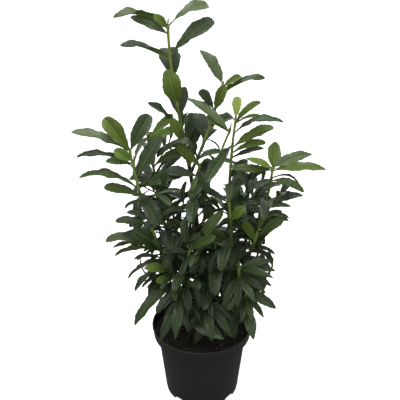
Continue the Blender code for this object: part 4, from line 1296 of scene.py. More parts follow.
def leaf_nodes(shoot: Shoot, path: Path) -> list[tuple[int, float, float, Pose | None]]:
    """The nodes of a shoot from the tip down.

    Args:
        shoot: The shoot.
        path: Its path.

    Returns:
        Each node's number, share of the way down, place on the path, and pose if the view shows one.
    """
    first = shoot.wood + 0.02
    shares = [k / max(1, shoot.leaves - 1) for k in range(shoot.leaves)]
    places = [0.995 - (0.995 - first) * low for low in shares]
    poses: dict[int, Pose] = {}
    for pose in shoot.shown:
        place = 1 - pose.down * MM / length_of(path)
        k = min((k for k in range(shoot.leaves) if k not in poses), key=lambda k: abs(places[k] - place))
        poses[k], places[k] = pose, min(place, 0.998)
    return [(k, shares[k], places[k], poses.get(k)) for k in range(shoot.leaves)]


def seen_at(point: Vector) -> Pair:
    """Where the eye sees a point, carried along its sight line to the plane y = 0, in millimetres."""
    sight = point - EYE
    met = EYE + sight * (-EYE.y / sight.y)
    return met.x / MM, met.z / MM


def reach_at(height: float) -> Sequence[float]:
    """The crown's left and right reach at a height, between the rows of the outline."""
    for (low, *low_reach), (high, *high_reach) in zip(REACH, REACH[1:]):
        if low <= height <= high:
            share = (height - low) / (high - low)
            return [a + (b - a) * share for a, b in zip(low_reach, high_reach)]
    return (0, 0) if height > REACH[-1][0] else REACH[0][1:]


def keeps_the_view(leaf: Leaf) -> bool:
    """Whether a leaf stays inside the crown's outline and out of its gaps, as the eye sees them."""
    for share in VIEW_SHARES:
        x, z = seen_at(leaf.frame(share)[0])
        if any(math.hypot(x - gap_x, z - gap_z) < radius + GAP_MARGIN for gap_x, gap_z, radius in SKY_GAPS):
            return False
        left, right = reach_at(z)
        if not left < x < right:
            return False
    return True


def turned_leaf(leaf: Leaf, along: Vector, turn: float, tilt: float, share: float) -> Leaf:
    """The same leaf swung about its stem and tilted, for a second try at a free place."""
    swing = Quaternion(along, math.radians(turn))
    chord, up = swing @ leaf.chord, swing @ leaf.up
    dip = Quaternion(up.cross(chord), math.radians(tilt))
    return replace(leaf, chord=dip @ chord, up=dip @ up, length=leaf.length * share)


@dataclass
class Kept:
    """A leaf that found its place, with the search trees and the ball that the tests of later leaves use."""

    leaf: Leaf
    whole: BVHTree
    blade: BVHTree
    middle: Vector
    reach: float

    @classmethod
    def of(cls, leaf: Leaf) -> "Kept":
        """Prepares a leaf for the tests."""
        points, faces = leaf.shape(CLEARANCE)
        middle = sum(points, Vector()) / len(points)
        return cls(
            leaf,
            BVHTree.FromPolygons(points, faces),
            BVHTree.FromPolygons(points, [face for face in faces if min(face) >= 4]),
            middle,
            max((point - middle).length for point in points),
        )


@dataclass
class Sprig:
    """A short side twig in the axil of a leaf."""

    path: Path
    radius: float

    def radius_at(self, share: float) -> float:
        """Its radius at a share of its length."""
        return self.radius * (1 - 0.45 * share)


@dataclass
class Growth:
    """The plant as it grows: its paths, the search trees of its solid parts, and what found a place."""

    sprig_spacing: float = 40 * MM
    sprig_length: Pair = (26 * MM, 50 * MM)
    sprig_radius: float = 1.5 * MM
    sprig_room: float = 40 * MM
    sprig_overreach: float = 4 * MM
    sprig_turns: Sequence[float] = (0, 70, -70, 140)
    sprig_leaves: int = 5
    sprig_leaf: Pair = (40 * MM, 62 * MM)
    spears: int = 2
    young_share: float = 0.28
    young_spread: float = 0.25
    paths: dict[str, Path] = field(default_factory=dict)
    limbs: list[BVHTree] = field(default_factory=list)
    stems: dict[str, BVHTree] = field(default_factory=dict)
    leaves: dict[str, list[Kept]] = field(default_factory=dict)
    sprigs: dict[str, list[Sprig]] = field(default_factory=dict)
    sights: list[tuple[Vector, Vector]] = field(default_factory=list)

    def start(self) -> None:
        """Works out every path, and reads the limbs, the pot and the compost from the frame."""
        for shoot in SHOOTS:
            path = self.paths[shoot.name] = path_of(shoot, self.paths)
            self.leaves[shoot.name], self.sprigs[shoot.name] = [], []
            start = shoot.wood + GAP / length_of(path)
            twig = plain_tube(path, start, 1.0, stem_radius(shoot, path))
            self.stems[shoot.name] = BVHTree.FromPolygons(*twig)
        names = ["pot", "compost"] + [f"{shoot.name}_stem" for shoot in SHOOTS]
        self.limbs = [tree_of(frame["nodes"][name]) for name in names]

    def is_clear(self, tried: Kept, name: str) -> bool:
        """Whether a leaf touches no limb, no other shoot and, beyond its petiole, no leaf of its own shoot.

        Args:
            tried: The leaf.
            name: Its shoot.

        Returns:
            Whether its place is free.
        """
        if any(tried.whole.overlap(limb) for limb in self.limbs):
            return False
        if any(tried.whole.overlap(stem) for other, stem in self.stems.items() if other != name):
            return False
        for other, kept in self.leaves.items():
            for near in kept:
                if (near.middle - tried.middle).length > near.reach + tried.reach:
                    continue
                own = other == name
                if near.blade.overlap(tried.blade) if own else near.whole.overlap(tried.whole):
                    return False
        return True

    def note_sights(self) -> None:
        """Notes the sight lines from the leaves that are placed so far to the eye."""
        for kept in sum(self.leaves.values(), []):
            for share in SIGHT_SHARES:
                point = kept.leaf.frame(share)[0]
                self.sights.append((point, (EYE - point).normalized()))

    def hides(self, tried: Kept) -> bool:
        """Whether a leaf stands in one of the noted sight lines."""
        for point, towards in self.sights:
            apart = tried.middle - point
            ahead = apart.dot(towards)
            if ahead > 0 and (apart - towards * ahead).length < tried.reach:
                if tried.whole.ray_cast(point, towards)[0] is not None:
                    return True
        return False

    def try_leaf(
        self, name: str, wanted: Leaf, along: Vector, shown: bool = False, shares: Sequence[float] = (1.0,)
    ) -> bool:
        """Seeks a free place near the one that the rule gives, and keeps the leaf if there is one.

        Args:
            name: The shoot.
            wanted: The leaf that the rule gives.
            along: The direction of its stem.
            shown: Whether the front view shows it, so that it may pass the crown's outline.
            shares: The shares of its length to try.

        Returns:
            Whether it found a place.
        """
        for share in shares:
            for turn, tilt in SECOND_TRIES:
                leaf = turned_leaf(wanted, along, turn, tilt, share)
                if not shown and not keeps_the_view(leaf):
                    continue
                tried = Kept.of(leaf)
                if not self.hides(tried) and self.is_clear(tried, name):
                    self.leaves[name].append(tried)
                    return True
        return False

    def plan_leaf(
        self, shoot: Shoot, k: int, low: float, place: float, pose: Pose | None, chance: random.Random
    ) -> Leaf:
        """The leaf that the rule gives at one node of a shoot.

        Args:
            shoot: The shoot.
            k: The node's number from the tip.
            low: Its share of the way down.
            place: Its place on the path.
            pose: How the front view shows it, if it does.
            chance: The shoot's own seeded chance.

        Returns:
            The leaf.
        """
        path = self.paths[shoot.name]
        root, along = point_on(path, place), direction_on(path, place)
        jitter = [chance.uniform(-1, 1) for _ in range(6)]
        if pose:
            clock, toward = math.radians(pose.clock), math.radians(pose.toward)
            flat = PICTURE_RIGHT * math.cos(clock) + PICTURE_UP * math.sin(clock)
            chord = flat * math.cos(toward) + TO_THE_EYE * math.sin(toward)
            length, arch, face = pose.length * MM, pose.arch, pose.face
            roll, wide, hook = 0.0, pose.wide, pose.hook
            twist = TWIST_SPREAD * jitter[3] if pose.twist is None else pose.twist
            blunt = shoot.blunt if pose.blunt is None else pose.blunt
        else:
            turn = math.radians(shoot.turn + GOLDEN_TURN * k + TURN_SPREAD * jitter[0])
            widening = (shoot.opening[1] - shoot.opening[0]) * low**0.7
            opening = math.radians(shoot.opening[0] + widening + OPENING_SPREAD * jitter[1])
            chord = along * math.cos(opening) + outward_from(along, turn) * math.sin(opening)
            chord.z -= shoot.sag * low
            grown = shoot.tip_length + (shoot.length - shoot.tip_length) * min(1, 3 * low)
            length = grown * MM * (1 + LENGTH_SPREAD * jitter[2])
            arch, face, roll = 0.09 + 0.04 * jitter[3], 0.0, ROLL_SPREAD * jitter[5]
            wide, hook = shoot.slender, 0.07 + 0.05 * jitter[1]
            twist, blunt = TWIST_SPREAD * jitter[3], shoot.blunt
        chord = chord.normalized()
        above = along * (1 - abs(face)) + TO_THE_EYE * face
        up = above - chord * above.dot(chord)
        if up.length < LEAST_UPWARD:
            up = SKY - chord * chord.z
        fold = FOLD + FOLD_SPREAD * jitter[4]
        tint = self.tint_of(shoot, low, pose, jitter[0])
        return Leaf(
            root, chord, up.normalized(), length,
            arch, fold, roll, twist, wide, hook, tint, blunt, seed=jitter[2],
        )

    def tint_of(self, shoot: Shoot, low: float, pose: Pose | None, jitter: float) -> Tint:
        """The tint of a leaf: the pose's own, or the shoot's young one near its tip and dark one below."""
        if pose and pose.tint:
            return pose.tint
        young = low + self.young_spread * jitter < self.young_share
        return shoot.tips if young else shoot.inner

    def grow_leaves(self) -> None:
        """Places the leaves that the front view tells apart first, and then the rest of every shoot."""
        plans = []
        for shoot in SHOOTS:
            chance = random.Random(shoot.name)
            path = self.paths[shoot.name]
            for k, low, place, pose in leaf_nodes(shoot, path):
                leaf = self.plan_leaf(shoot, k, low, place, pose, chance)
                plans.append((shoot.name, leaf, direction_on(path, place), pose is not None))
        for shown in (True, False):
            for name, wanted, along, is_shown in plans:
                if is_shown == shown:
                    self.try_leaf(name, wanted, along, shown, (1.0, LEAST_LENGTH_SHARE))
            if shown:
                self.note_sights()

    def twig_leaf(self, sprig: Sprig, k: int, shoot: Shoot, chance: random.Random) -> Leaf:
        """The leaf that the rule gives at one node of a sprig.

        Args:
            sprig: The sprig.
            k: The node's number from its tip.
            shoot: The shoot that bears it.
            chance: The seeded chance.

        Returns:
            The leaf.
        """
        low = k / max(1, self.sprig_leaves - 1)
        place = 0.98 - 0.6 * low
        along = direction_on(sprig.path, place)
        turn = math.radians(GOLDEN_TURN * k + chance.uniform(-25, 25))
        opening = math.radians(30 + 45 * low + chance.uniform(-10, 10))
        chord = along * math.cos(opening) + outward_from(along, turn, SKY) * math.sin(opening)
        chord.z -= 0.12 * low
        chord = chord.normalized()
        above = SKY * 0.6 + along * 0.4
        up = above - chord * above.dot(chord)
        if up.length < LEAST_UPWARD:
            up = along - chord * along.dot(chord)
        return Leaf(
            root=point_on(sprig.path, place),
            chord=chord,
            up=up.normalized(),
            length=chance.uniform(*self.sprig_leaf),
            arch=chance.uniform(0.05, 0.13),
            fold=chance.uniform(14, 26),
            roll=chance.uniform(-16, 16),
            twist=chance.uniform(-18, 18),
            wide=shoot.slender,
            tint=shoot.inner,
            blunt=shoot.blunt,
            seed=chance.random(),
        )

    def grow_sprigs(self) -> None:
        """Grows short side twigs with small leaves along the leafy part of every shoot, in its own space."""
        for shoot in SHOOTS:
            chance = random.Random(f"sprigs of {shoot.name}")
            path = self.paths[shoot.name]
            low_corner, high_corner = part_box(f"{shoot.name}_leaves")
            first, last = shoot.wood + 0.04, shoot.twiggy
            count = max(0, round(length_of(path) * (last - first) / self.sprig_spacing))
            for i in range(count):
                place = first + (last - first) * (i + chance.uniform(0.2, 0.8)) / count
                for turn_on in self.sprig_turns:
                    turn = math.radians(GOLDEN_TURN * i + shoot.turn + 60 + turn_on)
                    sprig = self.planned_sprig(path, place, turn, chance)
                    sides = zip(low_corner, sprig.path[-1], high_corner)
                    inside = all(
                        a - self.sprig_overreach < x < b + self.sprig_overreach for a, x, b in sides
                    )
                    if inside and self.sprig_is_clear(sprig) and self.leafed(sprig, shoot, chance):
                        self.sprigs[shoot.name].append(sprig)
                        break

    def planned_sprig(self, path: Path, place: float, turn: float, chance: random.Random) -> Sprig:
        """The side twig that the rule gives at a place on a shoot.

        Args:
            path: The shoot's path.
            place: The place.
            turn: The turn round the shoot, in radians.
            chance: The seeded chance.

        Returns:
            The sprig.
        """
        root, along = point_on(path, place), direction_on(path, place)
        outward = outward_from(along, turn)
        length = chance.uniform(*self.sprig_length)
        leaving = (along * 0.55 + outward * 0.85).normalized()
        rising = (outward * 0.6 + Vector((0, 0, 0.7))).normalized()
        low = root + leaving * (length * 0.35)
        high = root + leaving * (length * 0.6) + rising * (length * 0.1)
        return Sprig(bent_path(root, low, high, high + rising * (length * 0.4)), self.sprig_radius)

    def sprig_is_clear(self, sprig: Sprig) -> bool:
        """Whether a sprig touches no limb, stem or leaf beyond its own root."""
        tube = plain_tube(sprig.path, 0.3, 1.0, lambda share: sprig.radius_at(share) + 0.8 * MM)
        tree = BVHTree.FromPolygons(*tube)
        if any(tree.overlap(other) for other in (*self.limbs, *self.stems.values())):
            return False
        middle = point_on(sprig.path, 0.6)
        for kept in sum(self.leaves.values(), []):
            near = (kept.middle - middle).length < kept.reach + self.sprig_room
            if near and tree.overlap(kept.whole):
                return False
        return True

    def leafed(self, sprig: Sprig, shoot: Shoot, chance: random.Random) -> bool:
        """Gives a sprig its leaves.

        Args:
            sprig: The sprig.
            shoot: The shoot that bears it.
            chance: The seeded chance.

        Returns:
            Whether at least one leaf found a place.
        """
        placed = 0
        for k in range(self.sprig_leaves):
            wanted = self.twig_leaf(sprig, k, shoot, chance)
            placed += self.try_leaf(shoot.name, wanted, direction_on(sprig.path, 0.8))
        return placed > 0

    def grow_spears(self) -> None:
        """Adds the narrow folded leaves that are about to open at every tip."""
        for shoot in SHOOTS:
            chance = random.Random(f"spears of {shoot.name}")
            path = self.paths[shoot.name]
            along = direction_on(path, 0.99)
            for k in range(self.spears):
                turn = math.radians(180 * k + chance.uniform(0, 120))
                outward = outward_from(along, turn)
                lean = math.radians(chance.uniform(12, 26))
                chord = (along * math.cos(lean) + outward * math.sin(lean)).normalized()
                up = (chord * outward.dot(chord) - outward).normalized()
                leaf = Leaf(
                    root=point_on(path, 0.997),
                    chord=chord,
                    up=up,
                    length=chance.uniform(10, 17) * MM,
                    arch=-0.05,
                    fold=48,
                    roll=0,
                    twist=chance.uniform(-20, 20),
                    wide=0.9,
                    tint=FRESH,
                    blunt=0.3,
                    seed=chance.random(),
                )
                self.try_leaf(shoot.name, leaf, along)

    def count(self) -> tuple[int, int]:
        """How many leaves and sprigs there are."""
        return sum(map(len, self.leaves.values())), sum(map(len, self.sprigs.values()))


# Stems, twigs and foliage as pieces


@dataclass
class StemSkin:
    """The fine skin of a stem: rings along its path whose radius swells at nodes and scars."""

    path: Path
    start: float
    end: float
    radius: Girth
    sides: int = 10
    step: float = 4 * MM
    swellings: Sequence[float] = ()
    swelling: float = 0.45 * MM
    relief: float = 0.0
    scars: Sequence[Pair] = ()
    scar: float = 0.8 * MM
    sink: float = 0.0

    def radius_at(self, share: float, turn: float, length: float) -> float:
        """The radius at a place on the skin.

        Args:
            share: The share of the path.
            turn: The turn round it, in radians.
            length: The path's length.

        Returns:
            The radius, with its swellings, scars and relief.
        """
        radius = self.radius(share)
        for place in self.swellings:
            radius += self.swelling * math.exp(-(((share - place) * length / (2.4 * MM)) ** 2))
        for place, scar_turn in self.scars:
            apart = math.remainder(turn - scar_turn, 2 * math.pi)
            along = (share - place) * length / MM
            radius += self.scar * math.exp(-((apart / 0.7) ** 2) - (along / 1.8) ** 2)
            radius -= self.scar * 0.5 * math.exp(-((apart / 0.5) ** 2) - ((along - 1.6) / 0.9) ** 2)
        if self.relief:
            spot = Vector((math.cos(turn) * 1.6, math.sin(turn) * 1.6, share * length * 60))
            radius *= 1 + self.relief * noise.noise(spot) + self.relief * 0.6 * noise.noise(spot * 2.7)
        return radius

    def mesh(self) -> tuple[Array, Array, Array]:
        """The skin's points, four-sided faces and three-sided end faces."""
        length = length_of(self.path)
        spans = max(3, round(length * (self.end - self.start) / self.step))
        rings = []
        for i in range(spans + 1):
            t = self.start + (self.end - self.start) * i / spans
            side, back = across(direction_on(self.path, t))
            centre = point_on(self.path, t)
            if i == 0 and self.sink:
                centre = centre - Vector((0, 0, self.sink))
            for j in range(self.sides):
                turn = 2 * math.pi * j / self.sides
                radius = self.radius_at(t, turn, length)
                rings.append(centre + (side * math.cos(turn) + back * math.sin(turn)) * radius)
        rounded = direction_on(self.path, self.end) * self.radius(self.end) * 0.6
        foot = point_on(self.path, self.start) - Vector((0, 0, self.sink))
        top = point_on(self.path, self.end) + rounded
        points = np.array([tuple(point) for point in (*rings, foot, top)])
        return points, *ring_faces(spans + 1, self.sides)


@dataclass
class Crown:
    """The stems, twigs, buds and leaves of every shoot, as the pieces that stand for its solids."""

    growth: Growth
    palette: Palette
    limb_sides: int = 14
    limb_step: float = 2.4 * MM
    scar_spacing: float = 17 * MM
    bark_relief: float = 0.10
    collar: float = 0.45
    collar_reach: float = 6 * MM
    foot_sink: float = 4 * MM
    young_wood: float = 0.08
    bud_sides: int = 6
    bud_length: float = 3.4 * MM
    tip_bud_length: float = 7 * MM
    bud_profile: Sequence[Pair] = ((0.0, 0.75), (0.25, 1.0), (0.55, 0.8), (0.82, 0.38))
    axil_steps: int = 40
    full_blade_from: float = 66 * MM

    def build(self) -> None:
        """Makes every shoot's three pieces."""
        for shoot in SHOOTS:
            self.build_limb(shoot)
            self.build_twigs(shoot)
            self.build_foliage(shoot)

    def build_limb(self, shoot: Shoot) -> None:
        """The woody stretch of a shoot: bark, leaf scars, and a collar where it leaves its parent."""
        path = self.growth.paths[shoot.name]
        length = length_of(path)
        plain = stem_radius(shoot, path)
        chance = random.Random(f"scars of {shoot.name}")

        def radius(share: float) -> float:
            """The limb's radius with its branch collar."""
            bulge = self.collar * math.exp(-((share * length - 3 * MM) / self.collar_reach) ** 2)
            return plain(share) * (1 + (bulge if shoot.parent else 0))

        count = int(length * shoot.wood / self.scar_spacing)
        scars = []
        for k in range(count):
            place = shoot.wood * (k + chance.uniform(0.3, 0.7)) / count
            scars.append((place, math.radians(GOLDEN_TURN * k % 360)))
        skin = StemSkin(
            path, 0.0, shoot.wood + 0.004, radius, self.limb_sides, self.limb_step,
            relief=self.bark_relief, scars=scars, scar=0.16 * shoot.radius * MM,
            sink=0 if shoot.parent else self.foot_sink,
        )
        pile = MeshPile()
        pile.add_skin(*skin.mesh(), "bark")
        settle(pile.piece(f"{shoot.name}_limb", self.palette, 70), "bark", f"{shoot.name}_stem")

    def build_twigs(self, shoot: Shoot) -> None:
        """The green stretch of a shoot with its side twigs and buds."""
        path = self.growth.paths[shoot.name]
        radius = stem_radius(shoot, path)
        places = [place for _, _, place, _ in leaf_nodes(shoot, path)]
        skin = StemSkin(path, shoot.wood - 0.004, 1.0, radius, swellings=places)
        points, quads, caps = skin.mesh()
        spans = len(quads) // skin.sides
        height = np.repeat(np.arange(spans) / spans, skin.sides)
        olive = height < self.young_wood
        bright = height >= max(self.young_wood, shoot.bright)
        blocks = [
            (quads[olive], "twig_olive"),
            (quads[~olive & ~bright], "twig_green"),
            (quads[bright], "twig_bright"),
            (caps, "twig_bright"),
        ]
        pile = MeshPile()
        pile.add(points, blocks)
        for sprig in self.growth.sprigs[shoot.name]:
            swell = [0.98 - 0.2 * k for k in range(4)]
            skin = StemSkin(
                sprig.path, 0.0, 1.0, sprig.radius_at, sides=7, swellings=swell, swelling=0.3 * MM
            )
            pile.add_skin(*skin.mesh(), "twig_green")
            tip, along = sprig.path[-1], direction_on(sprig.path, 1.0)
            self.add_bud(pile, tip, along, self.tip_bud_length * 0.6, 1.1 * MM)
        for kept in self.growth.leaves[shoot.name]:
            self.add_axil_bud(pile, kept.leaf, path, radius)
        self.add_bud(pile, path[-1], direction_on(path, 1.0), self.tip_bud_length, 1.7 * MM)
        settle(pile.piece(f"{shoot.name}_twigs", self.palette), "foliage", f"{shoot.name}_leaves")

    def add_axil_bud(self, pile: MeshPile, leaf: Leaf, path: Path, radius: Girth) -> None:
        """Adds the bud that sits in a leaf's axil, where the leaf is borne by the shoot itself.

        Args:
            pile: What it is added to.
            leaf: The leaf.
            path: The shoot's path.
            radius: The rule for the shoot's radius.
        """
        shares = [i / self.axil_steps for i in range(self.axil_steps + 1)]
        gaps = [(point_on(path, share) - leaf.root).length for share in shares]
        if min(gaps) > 0.02 * length_of(path):
            return
        place = shares[gaps.index(min(gaps))]
        along = direction_on(path, place)
        outward = (leaf.chord - along * leaf.chord.dot(along)).normalized()
        foot = leaf.root + outward * (radius(place) * 0.9) + along * (1.6 * MM)
        self.add_bud(pile, foot, (along + outward * 0.35).normalized(), self.bud_length, 1.0 * MM)

    def add_bud(self, pile: MeshPile, foot: Vector, along: Vector, length: float, girth: float) -> None:
        """Adds a pointed bud.

        Args:
            pile: What it is added to.
            foot: Where it sits.
            along: Where it points.
            length: Its length.
            girth: Its largest radius.
        """
        side, back = across(along, Vector((0.3, 0.9, 0.2)).normalized())
        turns = 2 * np.pi * np.arange(self.bud_sides) / self.bud_sides
        spread = np.outer(np.cos(turns), np.array(side)) + np.outer(np.sin(turns), np.array(back))
        rings = [
            np.array(foot + along * (length * t)) + spread * girth * wide for t, wide in self.bud_profile
        ]
        ends = np.array([tuple(foot - along * (0.1 * length)), tuple(foot + along * length)])
        faces = ring_faces(len(rings), self.bud_sides)
        pile.add_skin(np.concatenate((*rings, ends)), *faces, "bud_scale")

    def build_foliage(self, shoot: Shoot) -> None:
        """The fine leaves of a shoot, joined."""
        pile = MeshPile()
        for kept in self.growth.leaves[shoot.name]:
            form = FULL_BLADE if kept.leaf.length > self.full_blade_from else SMALL_BLADE
            pile.add(*form.blade(kept.leaf))
            pile.add(*form.petiole(kept.leaf))
        settle(pile.piece(f"{shoot.name}_foliage", self.palette), "foliage", f"{shoot.name}_leaves")


# The pot and its compost


def turned_points(profile: Sequence[Pair], sides: int) -> Array:
    """Rings of points about Z, with the two points on Z at the end.

    Args:
        profile: Radius and height of every ring, between two points on Z.
        sides: How many points each ring has.

    Returns:
        The points.
    """
    turns = 2 * np.pi * np.arange(sides) / sides
    rings = []
    for radius, height in profile[1:-1]:
        ring = (radius * np.cos(turns), radius * np.sin(turns), np.full(sides, height))
        rings.append(np.stack(ring, axis=-1))
    ends = np.array([(0, 0, profile[0][1]), (0, 0, profile[-1][1])])
    return np.concatenate((*rings, ends))


def arc(centre: Pair, radius: float, first: float, last: float, steps: int) -> list[Pair]:
    """Points of a profile on an arc.

    Args:
        centre: The arc's centre, as radius and height.
        radius: The arc's own radius.
        first: The first point's angle in degrees, from outwards and counted upwards.
        last: The last point's angle.
        steps: How many steps it takes.

    Returns:
        The points.
    """
    made = []
    for i in range(steps + 1):
        turn = math.radians(first + (last - first) * i / steps)
        made.append((centre[0] + radius * math.cos(turn), centre[1] + radius * math.sin(turn)))
    return made


def pot_outer_radius(height: float) -> float:
    """The radius of the pot's outer face between its rounded foot and its neck."""
    return FOOT_RADIUS + (NECK_RADIUS - FOOT_RADIUS) * height / (POT_HEIGHT - COLLAR_HEIGHT)


@dataclass
class Pot:
    """The thin black pot: its rolled lip, deep collar, tapering wall and the arches round its foot."""

    palette: Palette
    sides: int = 160
    lip: float = 1.3 * MM
    shoulder: float = 1.5 * MM
    bead: float = 0.35 * MM
    sharp: float = 38

    def profile(self) -> list[Pair]:
        """The pot's profile from the middle of its underside, up its outer face and down its inner one."""
        neck = POT_HEIGHT - COLLAR_HEIGHT
        outer = [(0, 0), (FOOT_RADIUS - FOOT_ROUNDING - 6 * MM, 0), (FOOT_RADIUS - FOOT_ROUNDING, 0)]
        outer += arc((FOOT_RADIUS - FOOT_ROUNDING + 0.2 * MM, FOOT_ROUNDING), FOOT_ROUNDING, -80, 0, 6)
        for height in (10, 12, 14, 30, 50, 70, 90, 108, 110, 112, 120):
            ring = self.bead if height in (12, 110) else 0.0
            outer.append((pot_outer_radius(height * MM) + ring, height * MM))
        outer += [(NECK_RADIUS - 0.3 * MM, neck - 2 * MM), (NECK_RADIUS, neck - 0.6 * MM)]
        outer += arc((COLLAR_FOOT_RADIUS - self.shoulder, neck + self.shoulder), self.shoulder, -90, 0, 5)
        outer.append((COLLAR_FOOT_RADIUS + 0.6 * MM, neck + 6 * MM))
        outer.append((RIM_RADIUS - 1.0 * MM, POT_HEIGHT - 5 * MM))
        outer += arc((RIM_RADIUS - self.lip, POT_HEIGHT - self.lip), self.lip, -30, 190, 12)
        inner = [(RIM_RADIUS - POT_WALL - 0.7 * MM, POT_HEIGHT - 5 * MM)]
        inner += [(COLLAR_FOOT_RADIUS - POT_WALL, neck + 5 * MM), (NECK_RADIUS - POT_WALL, neck + 2 * MM)]
        inner += [(pot_outer_radius(60 * MM) - POT_WALL, 60 * MM)]
        inner += [(pot_outer_radius(POT_FLOOR) - POT_WALL, POT_FLOOR + 2 * MM)]
        inner += [(pot_outer_radius(POT_FLOOR) - POT_WALL - 3 * MM, POT_FLOOR), (0, POT_FLOOR)]
        return outer + inner

    def arch(self, turn: float) -> bpy.types.Object:
        """A round-topped cutter for one drainage arch, low in the pot's foot.

        Args:
            turn: Where it stands round the pot, in degrees.

        Returns:
            The cutter.
        """
        steps = 14
        outline = [(-ARCH_WIDTH / 2, -3 * MM), (ARCH_WIDTH / 2, -3 * MM)]
        for i in range(steps + 1):
            a = math.pi * i / steps
            height = ARCH_HEIGHT * 0.25 + ARCH_HEIGHT * 0.75 * math.sin(a)
            outline.append((ARCH_WIDTH / 2 * math.cos(a), height))
        spin = Quaternion((0, 0, 1), math.radians(turn))
        centre = FOOT_RADIUS - ARCH_DEPTH / 2
        reaches = (centre, centre + ARCH_DEPTH * 2)
        points = [spin @ Vector((reach, x, z)) for reach in reaches for x, z in outline]
        count = len(outline)
        faces: list[Sequence[int]] = []
        for i in range(count):
            j = (i + 1) % count
            faces.append((i, j, j + count, i + count))
        faces += [tuple(reversed(range(count))), tuple(range(count, 2 * count))]
        mesh = bpy.data.meshes.new("arch")
        mesh.from_pydata([tuple(p) for p in points], [], faces)
        made = bpy.data.objects.new("arch", mesh)
        bpy.context.scene.collection.objects.link(made)
        return made

    def build(self) -> None:
        """Turns the pot, cuts its arches and dresses it."""
        profile = self.profile()
        faces = ring_faces(len(profile) - 2, self.sides)
        pile = MeshPile()
        pile.add_skin(turned_points(profile, self.sides), *faces, "black_pot_plastic")
        piece = pile.piece("nursery_pot", self.palette)
        cutters = [self.arch(ARCH_FIRST_TURN + 360 * i / ARCH_COUNT) for i in range(ARCH_COUNT)]
        for cutter in cutters:
            modifier = piece.modifiers.new("arch", "BOOLEAN")
            modifier.operation = "DIFFERENCE"
            modifier.object = cutter
        bpy.context.view_layer.update()
        evaluated = piece.evaluated_get(bpy.context.evaluated_depsgraph_get())
        cut_mesh = bpy.data.meshes.new_from_object(evaluated)
        piece.modifiers.clear()
        piece.data = cut_mesh
        cut_mesh.shade_smooth()
        cut_mesh.set_sharp_from_angle(angle=math.radians(self.sharp))
        for cutter in cutters:
            bpy.data.objects.remove(cutter)
        settle(piece, "pot_plastic", "pot")


